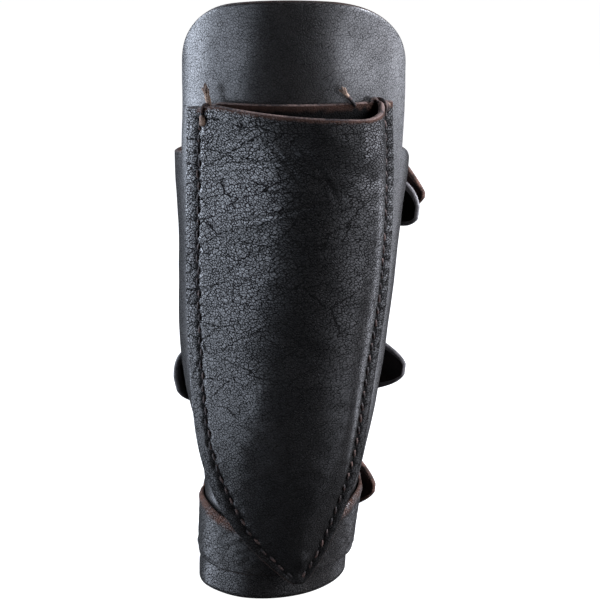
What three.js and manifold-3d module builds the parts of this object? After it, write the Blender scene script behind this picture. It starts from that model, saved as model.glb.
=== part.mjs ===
// Leather forearm bracer that carries a dagger sheath on its front.
// It stands on its wrist hem: front towards -Y, elbow end up, sizes in millimetres.
import * as THREE from "three";
import Module from "manifold-3d";

const wasm = await Module();
wasm.setup();

// Overall sizes
const HEIGHT = 271.5;
const SHELL_THICK = 3;
const BAND_THICK = 2.5;
const SHEATH_THICK = 2.4;
const STRAP_THICK = 2.4;
const CHAPE_THICK = 2;
const LAYER_GAP = 0.4;
const STRAP_GAP = 0.55;

// The front line of the shell is straight: its distance before the origin at the hem and at the top
const FRONT_AT_HEM = 30.3;
const FRONT_AT_TOP = 44.5;

// Outer face of the shell at several heights, as sheared ellipses
const ARM_SECTIONS = [
  { height: 0, halfWidth: 33.8, halfDepth: 35.6, centreX: -12.4, shear: 4.8 },
  { height: 10, halfWidth: 34, halfDepth: 35.2, centreX: -12, shear: 4 },
  { height: 25, halfWidth: 34.3, halfDepth: 34.6, centreX: -10.5, shear: 3 },
  { height: 43, halfWidth: 35.3, halfDepth: 34.4, centreX: -9, shear: 2.4 },
  { height: 57, halfWidth: 37.2, halfDepth: 35.2, centreX: -7.8, shear: 2 },
  { height: 75, halfWidth: 41, halfDepth: 37.8, centreX: -7.6, shear: 1.4 },
  { height: 95, halfWidth: 45.1, halfDepth: 41.3, centreX: -8.2, shear: 0.7 },
  { height: 115, halfWidth: 47.7, halfDepth: 44, centreX: -7.7, shear: 0.3 },
  { height: 145, halfWidth: 49.3, halfDepth: 45.3, centreX: -5.9, shear: 0 },
  { height: 175, halfWidth: 50.7, halfDepth: 46.6, centreX: -4.6, shear: 0 },
  { height: 191, halfWidth: 52.3, halfDepth: 48, centreX: -3.9, shear: 0 },
  { height: 205, halfWidth: 53, halfDepth: 48.7, centreX: -3.5, shear: 0 },
  { height: 227, halfWidth: 53, halfDepth: 48.8, centreX: -2.8, shear: 0 },
  { height: 271.5, halfWidth: 53, halfDepth: 48.8, centreX: -3, shear: 0 },
];

// Shell panel: angles are degrees from the front, positive towards the right of the view
const WING_ANGLE = 166;
const TONGUE_ANGLE = 66;
const TONGUE_CORNER_ANGLE = 40;
const TONGUE_CORNER_DROP = 20;
const TONGUE_CROWN = 8.4;
const TONGUE_LEAN = 2;
const WING_TOPS = [
  { angle: -166, height: 199 },
  { angle: -90, height: 201 },
  { angle: -66, height: 203 },
  { angle: 66, height: 205 },
  { angle: 90, height: 198 },
  { angle: 166, height: 198 },
];

// Wrist band
const BAND_ANGLE = 163;
const BAND_FOOT = 13.5;
const BAND_FLARE = 0.3;
const BAND_TOPS = [
  { angle: -163, height: 42 },
  { angle: -95, height: 42 },
  { angle: -70, height: 41.8 },
  { angle: -55, height: 39.6 },
  { angle: -40, height: 37.2 },
  { angle: 0, height: 35 },
  { angle: 40, height: 37 },
  { angle: 55, height: 40 },
  { angle: 70, height: 43.5 },
  { angle: 95, height: 45 },
  { angle: 163, height: 44 },
];

// Sheath: a plate with its own, flatter bend, outlined by its width left and right of its middle line
const MOUTH_HEIGHT = 228;
const TIP_HEIGHT = 12;
const PLATE_RADIUS_TOP = 60;
const PLATE_RADIUS_TIP = 66;
const PLATE_MIDDLE_TOP = -4.4;
const PLATE_MIDDLE_TIP = -1.4;
const PLATE_OFF_TOP = 0.8;
const PLATE_OFF_TIP = 4.2;
const PLATE_TURN_TIP = 8;
const MARGIN_LEFT = 8;
const MARGIN_RIGHT = 5;
const MOUTH_DIP = 4.8;
const MOUTH_DIP_FROM = 195;
const MOUTH_CORNER = 2.6;
const SHEATH_OUTLINE = [
  { height: 12, left: -2.2, right: 2 },
  { height: 15, left: -6, right: 4.8 },
  { height: 25, left: -16, right: 10.9 },
  { height: 34, left: -24, right: 15.4 },
  { height: 44, left: -31.2, right: 19.8 },
  { height: 55, left: -36.6, right: 24.2 },
  { height: 67, left: -41, right: 28.1 },
  { height: 81, left: -44, right: 31 },
  { height: 107, left: -46.3, right: 35.1 },
  { height: 143, left: -47.3, right: 41.4 },
  { height: 183, left: -46.3, right: 44.5 },
  { height: 228, left: -44.2, right: 44.2 },
];

// Raised pocket of the sheath: height of the ridge and its place between the sewn margins.
// Its left slope is nearly straight, its right side is a steep round wall with the inner face set further in.
const POCKET_BEND = 0.25;
const POCKET_WALL = 2.1;
const POCKET_WALL_INSET = 1.3;
const POCKET = [
  { height: 12, raise: 0, ridge: 0.2 },
  { height: 23, raise: 1.2, ridge: 0.25 },
  { height: 45, raise: 3.4, ridge: 0.4 },
  { height: 85, raise: 6.6, ridge: 0.54 },
  { height: 135, raise: 9.6, ridge: 0.6 },
  { height: 185, raise: 12.2, ridge: 0.62 },
  { height: 228, raise: 13.6, ridge: 0.62 },
];

// Straps: middle height at the left end and at the tail, left end angle, its lift, free tail length,
// length of its pointed end, how round the point is (1 is straight-sided), and the leather below the strap
const STRAP_WIDTH = 25;
const HEEL_ANGLE = 135;
const STRAPS = [
  { name: "upper", left: 173, right: 177, start: -116, lift: 0, tail: 28.4, tip: 13, point: 0.8, base: 0 },
  { name: "middle", left: 90.5, right: 93.5, start: -95, lift: 3, tail: 26.3, tip: 20, point: 0.6, base: 0 },
  { name: "lower", left: 35, right: 34, start: -116, lift: 0, tail: 18.3, tip: 13, point: 0.62, base: 3.1 },
];
const END_ROUND = 12.5;
const END_ROUND_BELOW = 21;

// Buckles: distances along the strap from the heel bar, and heights over the leather below
const BAR_RADIUS = 1.6;
const NEAR_BAR = 16;
const HEEL_RISE = 2.2;
const NEAR_RISE = 5.05;
const BUCKLE_HALF = 15.2;
const PRONG_RADIUS = 1.2;
const HOLE_HALF = 1.9;
const HOLE_FROM = 4;
const HOLE_TO = 12;
const CHAPE_BUMP = 4.2;
const STRAP_OVER_HEEL = 7.1;

// Chapes: length past the heel bar, length of the rounded end, how far that end stands off and droops
const CHAPE_SEAT = 14;
const CHAPES = {
  upper: { end: 33, round: 15, lift: 6, droop: -5.6 },
  middle: { end: 17, round: 7, lift: 0, droop: 0 },
  lower: { end: 17, round: 7, lift: 0, droop: 0 },
};

const rad = (degrees) => (degrees * Math.PI) / 180;
const clamp01 = (value) => Math.min(1, Math.max(0, value));
const mix = (a, b, t) => a + (b - a) * t;
const steps = (from, to, count) => Array.from({ length: count + 1 }, (_, i) => mix(from, to, i / count));

// A smooth curve through one column of a table
function column(table, key, at, value) {
  const last = table.length - 1;
  const x = clamp01((at - table[0][key]) / (table[last][key] - table[0][key]));
  const place = mix(table[0][key], table[last][key], x);
  let i = 0;
  while (i < last - 1 && place > table[i + 1][key]) i += 1;
  const slope = (k) => {
    const a = table[Math.max(0, k - 1)];
    const b = table[Math.min(last, k + 1)];
    return (b[value] - a[value]) / (b[key] - a[key]);
  };
  const span = table[i + 1][key] - table[i][key];
  const t = (place - table[i][key]) / span;
  const start = table[i][value] * (1 + 2 * t) * (1 - t) ** 2 + slope(i) * span * t * (1 - t) ** 2;
  const end = table[i + 1][value] * (3 - 2 * t) * t * t + slope(i + 1) * span * (t - 1) * t * t;
  return start + end;
}

const frontLine = (z) => -mix(FRONT_AT_HEM, FRONT_AT_TOP, z / HEIGHT);

// A point on the arm at an angle and a height, moved out of the shell's outer face
function armPoint(angle, z, out) {
  const part = (value) => column(ARM_SECTIONS, "height", z, value);
  const a = part("halfWidth");
  const b = part("halfDepth");
  const shear = part("shear");
  const s = Math.sin(rad(angle));
  const c = Math.cos(rad(angle));
  const normal = new THREE.Vector2(b * s + shear * c, -a * c).normalize();
  const x = part("centreX") + a * s;
  const y = frontLine(z) + b - b * c + shear * s;
  return new THREE.Vector3(x + normal.x * out, y + normal.y * out, z);
}

// A point on the sheath plate at a place across and a height, moved out of the plate's back face
function platePoint(across, z, out) {
  const t = (z - TIP_HEIGHT) / (MOUTH_HEIGHT - TIP_HEIGHT);
  const radius = mix(PLATE_RADIUS_TIP, PLATE_RADIUS_TOP, t);
  const bend = across / radius;
  const low = (1 - t) ** 2;
  const reach = radius + out;
  const spot = new THREE.Vector3(reach * Math.sin(bend), radius - reach * Math.cos(bend), z);
  spot.applyAxisAngle(new THREE.Vector3(0, 0, 1), rad(PLATE_TURN_TIP * low));
  spot.x += mix(PLATE_MIDDLE_TIP, PLATE_MIDDLE_TOP, t);
  spot.y += frontLine(z) - mix(PLATE_OFF_TOP, PLATE_OFF_TIP, low);
  return spot;
}

function solid(positions, triangles) {
  const geometry = new THREE.BufferGeometry();
  geometry.setAttribute("position", new THREE.Float32BufferAttribute(positions, 3));
  geometry.setIndex(triangles);
  geometry.computeVertexNormals();
  return geometry;
}

// A sheet between two grids of points, rows running up and columns to the right seen from outside
function sheet(rows, columns, point, keep = () => true) {
  const positions = [];
  for (const face of [1, 0]) {
    for (const row of rows) {
      for (const col of columns) positions.push(...point(row, col, face).toArray());
    }
  }
  const wide = columns.length;
  const back = rows.length * wide;
  const inside = (i, j) => i >= 0 && j >= 0 && i < rows.length - 1 && j < wide - 1;
  const kept = (i, j) => inside(i, j) && keep(i, j);
  const triangles = [];
  const quad = (a, b, c, d) => triangles.push(a, b, c, a, c, d);
  for (let i = 0; i < rows.length - 1; i += 1) {
    for (let j = 0; j < wide - 1; j += 1) {
      if (!kept(i, j)) continue;
      const a = i * wide + j;
      const b = a + 1;
      const c = b + wide;
      const d = a + wide;
      quad(a, b, c, d);
      quad(back + c, back + b, back + a, back + d);
      if (!kept(i - 1, j)) quad(back + a, back + b, b, a);
      if (!kept(i + 1, j)) quad(back + c, back + d, d, c);
      if (!kept(i, j - 1)) quad(back + d, back + a, a, d);
      if (!kept(i, j + 1)) quad(back + b, back + c, c, b);
    }
  }
  const used = [...new Set(triangles)].sort((p, q) => p - q);
  const place = new Map(used.map((old, fresh) => [old, fresh]));
  const packed = used.flatMap((old) => positions.slice(old * 3, old * 3 + 3));
  return solid(packed, triangles.map((old) => place.get(old)));
}

// A round bar along a row of points, either joined end to end or closed by flat ends
function bar(points, upright, radius, closed) {
  const sides = 10;
  const count = points.length;
  const positions = [];
  for (let i = 0; i < count; i += 1) {
    const before = points[closed ? (i + count - 1) % count : Math.max(0, i - 1)];
    const after = points[closed ? (i + 1) % count : Math.min(count - 1, i + 1)];
    const along = after.clone().sub(before).normalize();
    const side = along.clone().cross(upright).normalize();
    const up = side.clone().cross(along);
    for (let k = 0; k < sides; k += 1) {
      const turn = (2 * Math.PI * k) / sides;
      const place = points[i].clone();
      place.addScaledVector(side, radius * Math.cos(turn));
      place.addScaledVector(up, radius * Math.sin(turn));
      positions.push(...place.toArray());
    }
  }
  const triangles = [];
  for (let i = 0; i < (closed ? count : count - 1); i += 1) {
    for (let k = 0; k < sides; k += 1) {
      const a = i * sides + k;
      const b = i * sides + ((k + 1) % sides);
      const c = ((i + 1) % count) * sides + ((k + 1) % sides);
      const d = ((i + 1) % count) * sides + k;
      triangles.push(a, c, b, a, d, c);
    }
  }
  if (!closed) {
    const end = (count - 1) * sides;
    for (let k = 1; k < sides - 1; k += 1) {
      triangles.push(0, k, k + 1, end, end + k + 1, end + k);
    }
  }
  return solid(positions, triangles);
}

function join(first, second) {
  const body = (geometry) =>
    new wasm.Manifold(
      new wasm.Mesh({
        numProp: 3,
        vertProperties: new Float32Array(geometry.attributes.position.array),
        triVerts: new Uint32Array(geometry.index.array),
      }),
    );
  const mesh = body(first).add(body(second)).getMesh();
  return solid(Array.from(mesh.vertProperties), Array.from(mesh.triVerts));
}

// Shell: full rows up to the wing tops, then the tongue between its two sides
function tongueTop(angle) {
  const leaning = Math.abs(angle + TONGUE_LEAN * (1 - Math.abs(angle) / TONGUE_ANGLE));
  const part = leaning / TONGUE_ANGLE;
  const into = clamp01((leaning - TONGUE_ANGLE + TONGUE_CORNER_ANGLE) / TONGUE_CORNER_ANGLE);
  return HEIGHT - TONGUE_CROWN * part * part - TONGUE_CORNER_DROP * (1 - Math.sqrt(1 - into * into));
}

function shellHeight(row, angle) {
  const wing = column(WING_TOPS, "angle", angle, "height");
  return row <= 1 ? wing * row : mix(wing, tongueTop(angle), row - 1);
}

function forearmShell() {
  const corner = [66, 65.2, 63.2, 60, 55.5, 49.5, 42];
  const rows = [...steps(0, 1, 14), ...steps(1, 2, 5).slice(1)];
  const wing = steps(TONGUE_ANGLE, WING_ANGLE, 11).slice(1);
  const right = [...steps(0, 35, 5), ...corner.slice().reverse(), ...wing];
  const angles = [...right.slice(1).reverse().map((angle) => -angle), ...right];
  const point = (row, angle, face) => armPoint(angle, shellHeight(row, angle), face ? 0 : -SHELL_THICK);
  const tongue = (j) => angles[j] > -TONGUE_ANGLE - 0.01 && angles[j] < TONGUE_ANGLE - 0.01;
  return sheet(rows, angles, point, (i, j) => rows[i] < 0.999 || tongue(j));
}

function wristBand() {
  const point = (row, angle, face) => {
    const top = column(BAND_TOPS, "angle", angle, "height");
    return armPoint(angle, mix(BAND_FOOT, top, row), LAYER_GAP + BAND_FLARE * row * row + face * BAND_THICK);
  };
  return sheet(steps(0, 1, 4), steps(-BAND_ANGLE, BAND_ANGLE, 44), point);
}

// Raised shape across the pocket: 0 on the sewn margins, 1 on the ridge
function pocketShape(across, left, right, ridge, inset) {
  const low = left + MARGIN_LEFT;
  const high = right - MARGIN_RIGHT - inset;
  if (high - low < 2) return 0;
  const place = clamp01((across - low) / (high - low)) * 2 - 1;
  const t = (place + 1) / (ridge + 1);
  const u = (place - ridge) / (1 - ridge);
  const rise = place < ridge ? t * (1 + POCKET_BEND - POCKET_BEND * t) : 1 - u ** POCKET_WALL;
  return rise * clamp01((high - low - 2) / 8);
}

function sheathAcross(z, part) {
  const left = column(SHEATH_OUTLINE, "height", z, "left");
  const right = column(SHEATH_OUTLINE, "height", z, "right");
  const low = Math.min(left + MARGIN_LEFT, (left + right) / 2 - 0.5);
  const high = Math.max(right - MARGIN_RIGHT, (left + right) / 2 + 0.5);
  if (part < -1) return { left, right, across: mix(left, low, part + 2) };
  if (part > 1) return { left, right, across: mix(high, right, part - 1) };
  return { left, right, across: mix(low, high, (part + 1) / 2) };
}

const SHEATH_ROWS = [12, 15, 19, 25, 32, 40, 49, 59, 71, 85, 101, 119, 139, 159, 179, 197, 213, 228];
const SHEATH_PARTS = [-2, ...steps(-1, 0.6, 8), 0.71, 0.81, 0.89, 0.95, 1, 2];

// How far the mouth's edge lies below the top: the left corner of both layers and the dip of the front layer
function mouthDrop(row, across, dip) {
  const corner = MOUTH_CORNER * clamp01((-across - 30) / 8);
  return (corner + dip) * clamp01((row - MOUTH_DIP_FROM) / (MOUTH_HEIGHT - MOUTH_DIP_FROM));
}

function sheathBack() {
  const point = (row, part, face) => {
    const across = sheathAcross(row, part).across;
    return platePoint(across, row - mouthDrop(row, across, 0), face * SHEATH_THICK);
  };
  return sheet(SHEATH_ROWS, SHEATH_PARTS, point);
}

function sheathFront() {
  const point = (row, part, face) => {
    const edge = sheathAcross(row, part);
    const ridge = column(POCKET, "height", row, "ridge");
    const inset = face ? 0 : POCKET_WALL_INSET;
    const shape = pocketShape(edge.across, edge.left, edge.right, ridge, inset);
    const raise = column(POCKET, "height", row, "raise") * shape;
    const z = row - mouthDrop(row, edge.across, MOUTH_DIP * shape);
    return platePoint(edge.across, z, SHEATH_THICK + LAYER_GAP + raise + face * SHEATH_THICK);
  };
  return sheet(SHEATH_ROWS, SHEATH_PARTS, point);
}

// Places on the arm by distance from the heel bar: positive towards the tail, negative towards the strap
function alongArm(strap, distance, lift, out) {
  const z = strap.right + lift;
  const reach = column(ARM_SECTIONS, "height", strap.right, "halfDepth") + strap.base;
  return armPoint(HEEL_ANGLE - (distance / reach) * (180 / Math.PI), z, strap.base + out);
}

function strapRise(distance) {
  return mix(STRAP_GAP, STRAP_OVER_HEEL, clamp01((distance + 14) / 11));
}

function strapPiece(strap) {
  const reach = column(ARM_SECTIONS, "height", strap.right, "halfDepth") + strap.base;
  const length = rad(360 + strap.start - HEEL_ANGLE) * reach;
  const tail = [0, 0.04, 0.11, 0.22, 0.34, 0.46, 0.58, 0.72, 0.86].map((part) => strap.tail * (1 - part));
  const clasp = [0, -3, -HOLE_FROM, -8, -HOLE_TO, -14, -15, -18];
  const end = [15, 11, 8, 5, 2.5, 0.8, 0].map((distance) => distance - length);
  const along = [...tail, ...clasp, ...steps(-22, 20 - length, 10), ...end];
  const half = STRAP_WIDTH / 2;
  const lanes = [-half, -7, -HOLE_HALF, HOLE_HALF, 7, half];
  const point = (lane, distance, face) => {
    const fromEnd = distance + length;
    const round = lane < 0 ? END_ROUND_BELOW : END_ROUND;
    const rounded = Math.sqrt(1 - (1 - clamp01((fromEnd + 0.5) / round)) ** 2);
    const pointed = clamp01((strap.tail - distance + 0.6) / strap.tip) ** strap.point;
    const lift = lane * Math.min(rounded, pointed);
    const lean = mix(strap.left - strap.right, 0, clamp01(fromEnd / (length * 0.8)));
    const peel = strap.lift * clamp01(1 - fromEnd / 22) ** 2;
    const out = strapRise(distance) + peel + face * STRAP_THICK;
    if (distance <= 0) return alongArm(strap, distance, lean + lift, out);
    const heading = alongArm(strap, 0.5, lift, out).sub(alongArm(strap, -0.5, lift, out)).normalize();
    return alongArm(strap, 0, lift, out).addScaledVector(heading, distance);
  };
  const holed = (j) => along[j] < -HOLE_FROM + 0.1 && along[j + 1] > -HOLE_TO - 0.1;
  return sheet(lanes, along, point, (i, j) => i !== 2 || !holed(j));
}

// Chape: a short strip over the heel bar, with a slot for the prong; a long one stands off at its end
function chapePiece(strap) {
  const chape = CHAPES[strap.name];
  const outer = steps(chape.end, 6.5, chape.end > 20 ? 12 : 4);
  const along = [...outer, 4.2, 2.4, 1.2, 0, -1.2, -2.4, -4.2, -6.5, -9.5];
  const lanes = [-11, -7, -2.2, 2.2, 7, 11];
  const point = (lane, distance, face) => {
    const over = clamp01((6.5 - Math.abs(distance)) / 4.1);
    const fromEnd = clamp01((chape.end - distance + 0.6) / chape.round);
    const taper = Math.sqrt(1 - (1 - fromEnd) ** 2);
    const free = clamp01((distance - CHAPE_SEAT) / (chape.end - CHAPE_SEAT));
    const out = STRAP_GAP + CHAPE_BUMP * over + chape.lift * free ** 1.5 + face * CHAPE_THICK;
    return alongArm(strap, distance, lane * taper + chape.droop * free ** 0.6, out);
  };
  const slotted = (j) => along[j] < 1.3 && along[j + 1] > -9;
  return sheet(lanes, along, point, (i, j) => i !== 2 || !slotted(j));
}

// Buckle: a rounded frame round the strap, with a prong from the heel bar to the near bar
function bucklePiece(strap) {
  const corner = 3.5;
  const outline = [];
  const arcs = [
    { along: -corner, lift: BUCKLE_HALF - corner, from: 0 },
    { along: -NEAR_BAR + corner, lift: BUCKLE_HALF - corner, from: 90 },
    { along: -NEAR_BAR + corner, lift: -BUCKLE_HALF + corner, from: 180 },
    { along: -corner, lift: -BUCKLE_HALF + corner, from: 270 },
  ];
  const rise = (along) => mix(HEEL_RISE, NEAR_RISE, clamp01(-along / NEAR_BAR));
  for (const arc of arcs) {
    for (const turn of steps(arc.from, arc.from + 90, 3)) {
      const along = arc.along + corner * Math.cos(rad(turn));
      outline.push(alongArm(strap, along, arc.lift + corner * Math.sin(rad(turn)), rise(along)));
    }
  }
  const out = alongArm(strap, -8, 0, 1).sub(alongArm(strap, -8, 0, 0));
  const frame = bar(outline, out, BAR_RADIUS, true);
  const prong = [
    alongArm(strap, -0.2, 0, HEEL_RISE + 0.2),
    alongArm(strap, -6, 0, 4.2),
    alongArm(strap, -13, 0, 6.9),
    alongArm(strap, -18, 0, 7.3),
  ];
  return join(frame, bar(prong, out, PRONG_RADIUS, false));
}

const LEATHER = { color: 0x17171a, roughness: 0.42, metalness: 0 };
const STRAP_LEATHER = { color: 0x1c1816, roughness: 0.55, metalness: 0 };
const STEEL = { color: 0x6d6a66, roughness: 0.4, metalness: 1 };

const bracer = new THREE.Group();
bracer.name = "bracer";

function place(name, geometry, look) {
  const mesh = new THREE.Mesh(geometry, new THREE.MeshStandardMaterial(look));
  mesh.name = name;
  bracer.add(mesh);
}

place("forearm_shell", forearmShell(), LEATHER);
place("wrist_band", wristBand(), LEATHER);
place("sheath_back", sheathBack(), LEATHER);
place("sheath_front", sheathFront(), LEATHER);
for (const strap of STRAPS) {
  place(`strap_${strap.name}`, strapPiece(strap), STRAP_LEATHER);
  place(`chape_${strap.name}`, chapePiece(strap), STRAP_LEATHER);
  place(`buckle_${strap.name}`, bucklePiece(strap), STEEL);
}

export default bracer;
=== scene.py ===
import math
from collections import namedtuple

import bpy
import numpy as np
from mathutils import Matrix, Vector


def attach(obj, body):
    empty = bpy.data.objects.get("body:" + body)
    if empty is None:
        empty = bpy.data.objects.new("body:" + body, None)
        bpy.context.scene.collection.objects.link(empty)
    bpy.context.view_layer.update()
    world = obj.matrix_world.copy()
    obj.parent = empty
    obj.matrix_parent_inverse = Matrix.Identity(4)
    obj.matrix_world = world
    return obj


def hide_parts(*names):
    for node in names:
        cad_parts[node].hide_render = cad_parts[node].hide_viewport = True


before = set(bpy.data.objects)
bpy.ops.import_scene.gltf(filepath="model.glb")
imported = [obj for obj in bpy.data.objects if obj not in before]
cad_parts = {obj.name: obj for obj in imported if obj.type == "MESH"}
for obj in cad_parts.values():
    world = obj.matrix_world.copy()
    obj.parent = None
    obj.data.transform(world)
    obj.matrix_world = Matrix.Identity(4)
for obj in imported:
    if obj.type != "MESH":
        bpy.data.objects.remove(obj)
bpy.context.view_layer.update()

bl_info = {
    "name": "Forearm Bracer with Dagger Sheath",
    "version": (1, 0, 0),
    "blender": (4, 5, 0),
    "location": "View3D > Sidebar > Bracer",
    "description": "Leather forearm bracer that carries a sewn dagger sheath",
    "category": "Add Mesh",
}

MM = 0.001
BODY = "root"

# Sizes are in millimetres and degrees. A pair of places is where something starts and where it is full.
# Slack where a place is compared with an edge
NEAR = 0.01
# Sizes shared with the solids
HEIGHT = 271.5
FRONT_AT_HEM, FRONT_AT_TOP = 30.3, 44.5
LAYER_GAP, STRAP_GAP = 0.4, 0.55
# One unit of the cut pattern that carries the grain
CUT_SIZE = 400.0
# The rim of a leather sheet: steps across its thickness, and its bulge as a share of that
RIM_STEPS, RIM_BULGE = 4, 0.25
GRAIN_SIDE, FLESH_SIDE, RAW_RIM, DYED_RIM = range(4)

# Outer face of the shell: height, half width, half depth, centre x, shear
ARM_SECTIONS = (
    (0, 33.8, 35.6, -12.4, 4.8), (10, 34, 35.2, -12, 4), (25, 34.3, 34.6, -10.5, 3),
    (43, 35.3, 34.4, -9, 2.4), (57, 37.2, 35.2, -7.8, 2), (75, 41, 37.8, -7.6, 1.4),
    (95, 45.1, 41.3, -8.2, 0.7), (115, 47.7, 44, -7.7, 0.3), (145, 49.3, 45.3, -5.9, 0),
    (175, 50.7, 46.6, -4.6, 0), (191, 52.3, 48, -3.9, 0), (205, 53, 48.7, -3.5, 0),
    (227, 53, 48.8, -2.8, 0), (271.5, 53, 48.8, -3, 0),
)
# Tops of the wings: angle from the front, height
WING_TOPS = ((-166, 199), (-90, 201), (-66, 203), (66, 205), (90, 198), (166, 198))
WING_ANGLE, TONGUE_ANGLE = 166.0, 66.0
TONGUE_CROWN, TONGUE_LEAN = 8.4, 2.0
# Round top corners of the tongue: their span and drop, and how much wider the right one is
CORNER_ANGLE, CORNER_DROP, CORNER_MORE = 40.0, 20.0, 7.0
# The hem of the shell rolls out at the left
HEM_ROLL, HEM_ROLL_ANGLES, HEM_ROLL_HEIGHTS = 1.2, (-40, -75), (13, 7)
# The shell is uneven where nothing lies on it, and lies smoother under the sheath
SHELL_RADIUS, FREE_HEIGHTS, FREE_ANGLES, HELD_WAVES = 45, (227, 241), (72, 95), 0.25
SHELL_CRACKS, SHELL_CRACK_ANGLES, HEM_CRACK_HEIGHTS = 0.45, (60, 100), (20, 12)

# Top edge of the wrist band: angle, height
BAND_TOPS = (
    (-163, 42), (-95, 42), (-70, 41.8), (-55, 39.6), (-40, 37.2), (0, 35), (40, 37), (55, 40),
    (70, 43.5), (95, 45), (163, 44),
)
BAND_ANGLE, BAND_FOOT, BAND_FLARE, BAND_RADIUS = 163.0, 13.5, 0.3, 35
# The band is skived along its top and at the left of its foot, and rubbed brown at the top
BAND_SKIVE, SKIVE_TOP, SKIVE_FOOT, SKIVE_ANGLES = 1.0, (2.6, 0.0), (4.0, 0.0), (-30, -60)
BAND_RUBBED, RUBBED_RIGHT, RUBBED_ANGLES = (5.0, 0.4), 0.6, (-20, 40)
BAND_CRACKS = 0.8

# Sheath plate and its outline: height, left, right
MOUTH_HEIGHT, TIP_HEIGHT = 228.0, 12.0
PLATE_RADIUS_TOP, PLATE_RADIUS_TIP = 60.0, 66.0
PLATE_MIDDLE_TOP, PLATE_MIDDLE_TIP = -4.4, -1.4
PLATE_OFF_TOP, PLATE_OFF_TIP, PLATE_TURN_TIP = 0.8, 4.2, 8.0
MARGIN_LEFT, MARGIN_RIGHT = 8.0, 5.0
SHEATH_OUTLINE = (
    (12, -2.2, 2), (15, -6, 4.8), (25, -16, 10.9), (34, -24, 15.4), (44, -31.2, 19.8),
    (55, -36.6, 24.2), (67, -41, 28.1), (81, -44, 31), (107, -46.3, 35.1), (143, -47.3, 41.4),
    (183, -46.3, 44.5), (228, -44.2, 44.2),
)
# The mouth dips in front, and its left corner is cut off
MOUTH_DIP, MOUTH_DIP_FROM = 4.8, 195.0
MOUTH_CORNER, MOUTH_CORNER_FROM, MOUTH_CORNER_WIDE = 2.6, -30, 8
# Raised pocket: height, raise, place of the ridge between the sewn margins from -1 to 1
POCKET = (
    (12, 0, 0.2), (23, 1.2, 0.25), (45, 3.4, 0.4), (85, 6.6, 0.54), (135, 9.6, 0.6),
    (185, 12.2, 0.62), (228, 13.6, 0.62),
)
# Its long left slope bends a little and its right wall is steep; it needs some width to rise
POCKET_BEND, POCKET_WALL, POCKET_WALL_INSET, POCKET_NARROW, POCKET_OPENS = 0.25, 2.1, 1.3, 2, 8
# The worn pocket, in shares of its raise: the long slope sags, less at the lip, and the ridge swells
SLOPE_HOLLOW, HOLLOW_HEIGHTS, HOLLOW_AT_LIP, HOLLOW_LIP = 0.17, (70, 190), 0.5, (212, 228)
RIDGE_SWELL, SWELL_HEIGHTS, SWELL_LIP = 0.1, (90, 150), (205, 226)
# Its shoulder is worn round: where the slope starts to level out, the bend of the wall, and the heights
SHOULDER_FROM, SHOULDER_WALL = 0.5, 2.4
SHOULDER_HEIGHTS, SHOULDER_AT_LIP, SHOULDER_LIP = (40, 90), 0.2, (180, 218)
# The worn ridge has moved to the right low down and to the left high up
SHIFT_LOW, SHIFT_HIGH, SHIFT_HEIGHTS = 0.12, -0.06, (90, 140)

# Sewn lines of the sheath: how far inside the left and right edge, and at the tip
SEAM_INSET_LEFT, SEAM_INSET_RIGHT, SEAM_INSET_TIP, SEAM_TIP_HEIGHTS = 6.3, 3.7, 2.6, (17, 50)
SEAM_LOWEST, SEAM_HIGHEST, SEAM_POINTS = 16.0, 224.0, 700
# The left line wavers: how far, its length, and how that length changes
WAVER, WAVER_LENGTH, WAVER_CHANGE, WAVER_CHANGE_LENGTH = 0.45, 9.5, 0.6, 17
# Seams: side, sign, inset, seed of the sway, lean of the stitches
SEAMS = (("left", -1, SEAM_INSET_LEFT, 5, 0.0), ("right", 1, SEAM_INSET_RIGHT, 6, 0.2))
# Each stitch pulls the groove deeper, and the leather puckers beside it
STITCH_PULL, GROOVE_HALF, PUCKER, PUCKER_OFF, PUCKER_HALF = 0.28, 1.3, 0.25, 3.2, 1.5
# Stitches: arch in metres, sway in radians, sink as a share of the thread's width, steps of a strand
STITCH_ARCH, STITCH_SWAY, STITCH_SINK, STITCH_STEPS = 0.0007, 0.16, 0.7, 6

# Long creases of the sheath front: across and height at both ends, sag, depth, half width
CREASES = (
    (-37, 200, 8, 208, 1.2, 0.22, 0.55), (-36, 191, -2, 196, 1.0, 0.14, 0.5),
    (-34, 176, 14, 191, -1.6, 0.22, 0.6), (-30, 211, -4, 216, 0.6, 0.13, 0.5),
    (-10, 218, 6, 191, 1.4, 0.16, 0.55), (2, 217, 16, 185, 1.8, 0.18, 0.6),
    (-36, 163, -8, 171, 1.0, 0.13, 0.5), (-6, 181, 10, 161, 1.2, 0.13, 0.5),
    (-24, 185, -14, 167, -1.0, 0.11, 0.5), (18, 209, 34, 214, 0.6, 0.11, 0.5),
    (20, 195, 36, 198, 0.8, 0.05, 0.5), (-38, 115, -20, 121, 0.8, 0.08, 0.6),
)
# A crease as shares of its own sizes: width, height, place and width of its lips, and its fading ends
CREASE_WIDE, CREASE_LIP, CREASE_LIP_OFF, CREASE_LIP_WIDE, CREASE_ENDS = 1.5, 0.45, 2.6, 1.6, 0.2

# Wear of the sheath front: cracks are fewer low down and at the right, the lip is rubbed bare
CRACKS_LOW, CRACK_HEIGHTS, CRACKS_RIGHT, CRACK_ACROSS = 0.45, (55, 160), 0.8, (-14, 26)
BARE_LIP, WORN_LIP, WORN_LIP_RIGHT, WORN_LIP_ACROSS = 0.6, 1.9, 3.6, (31, 37)
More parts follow.
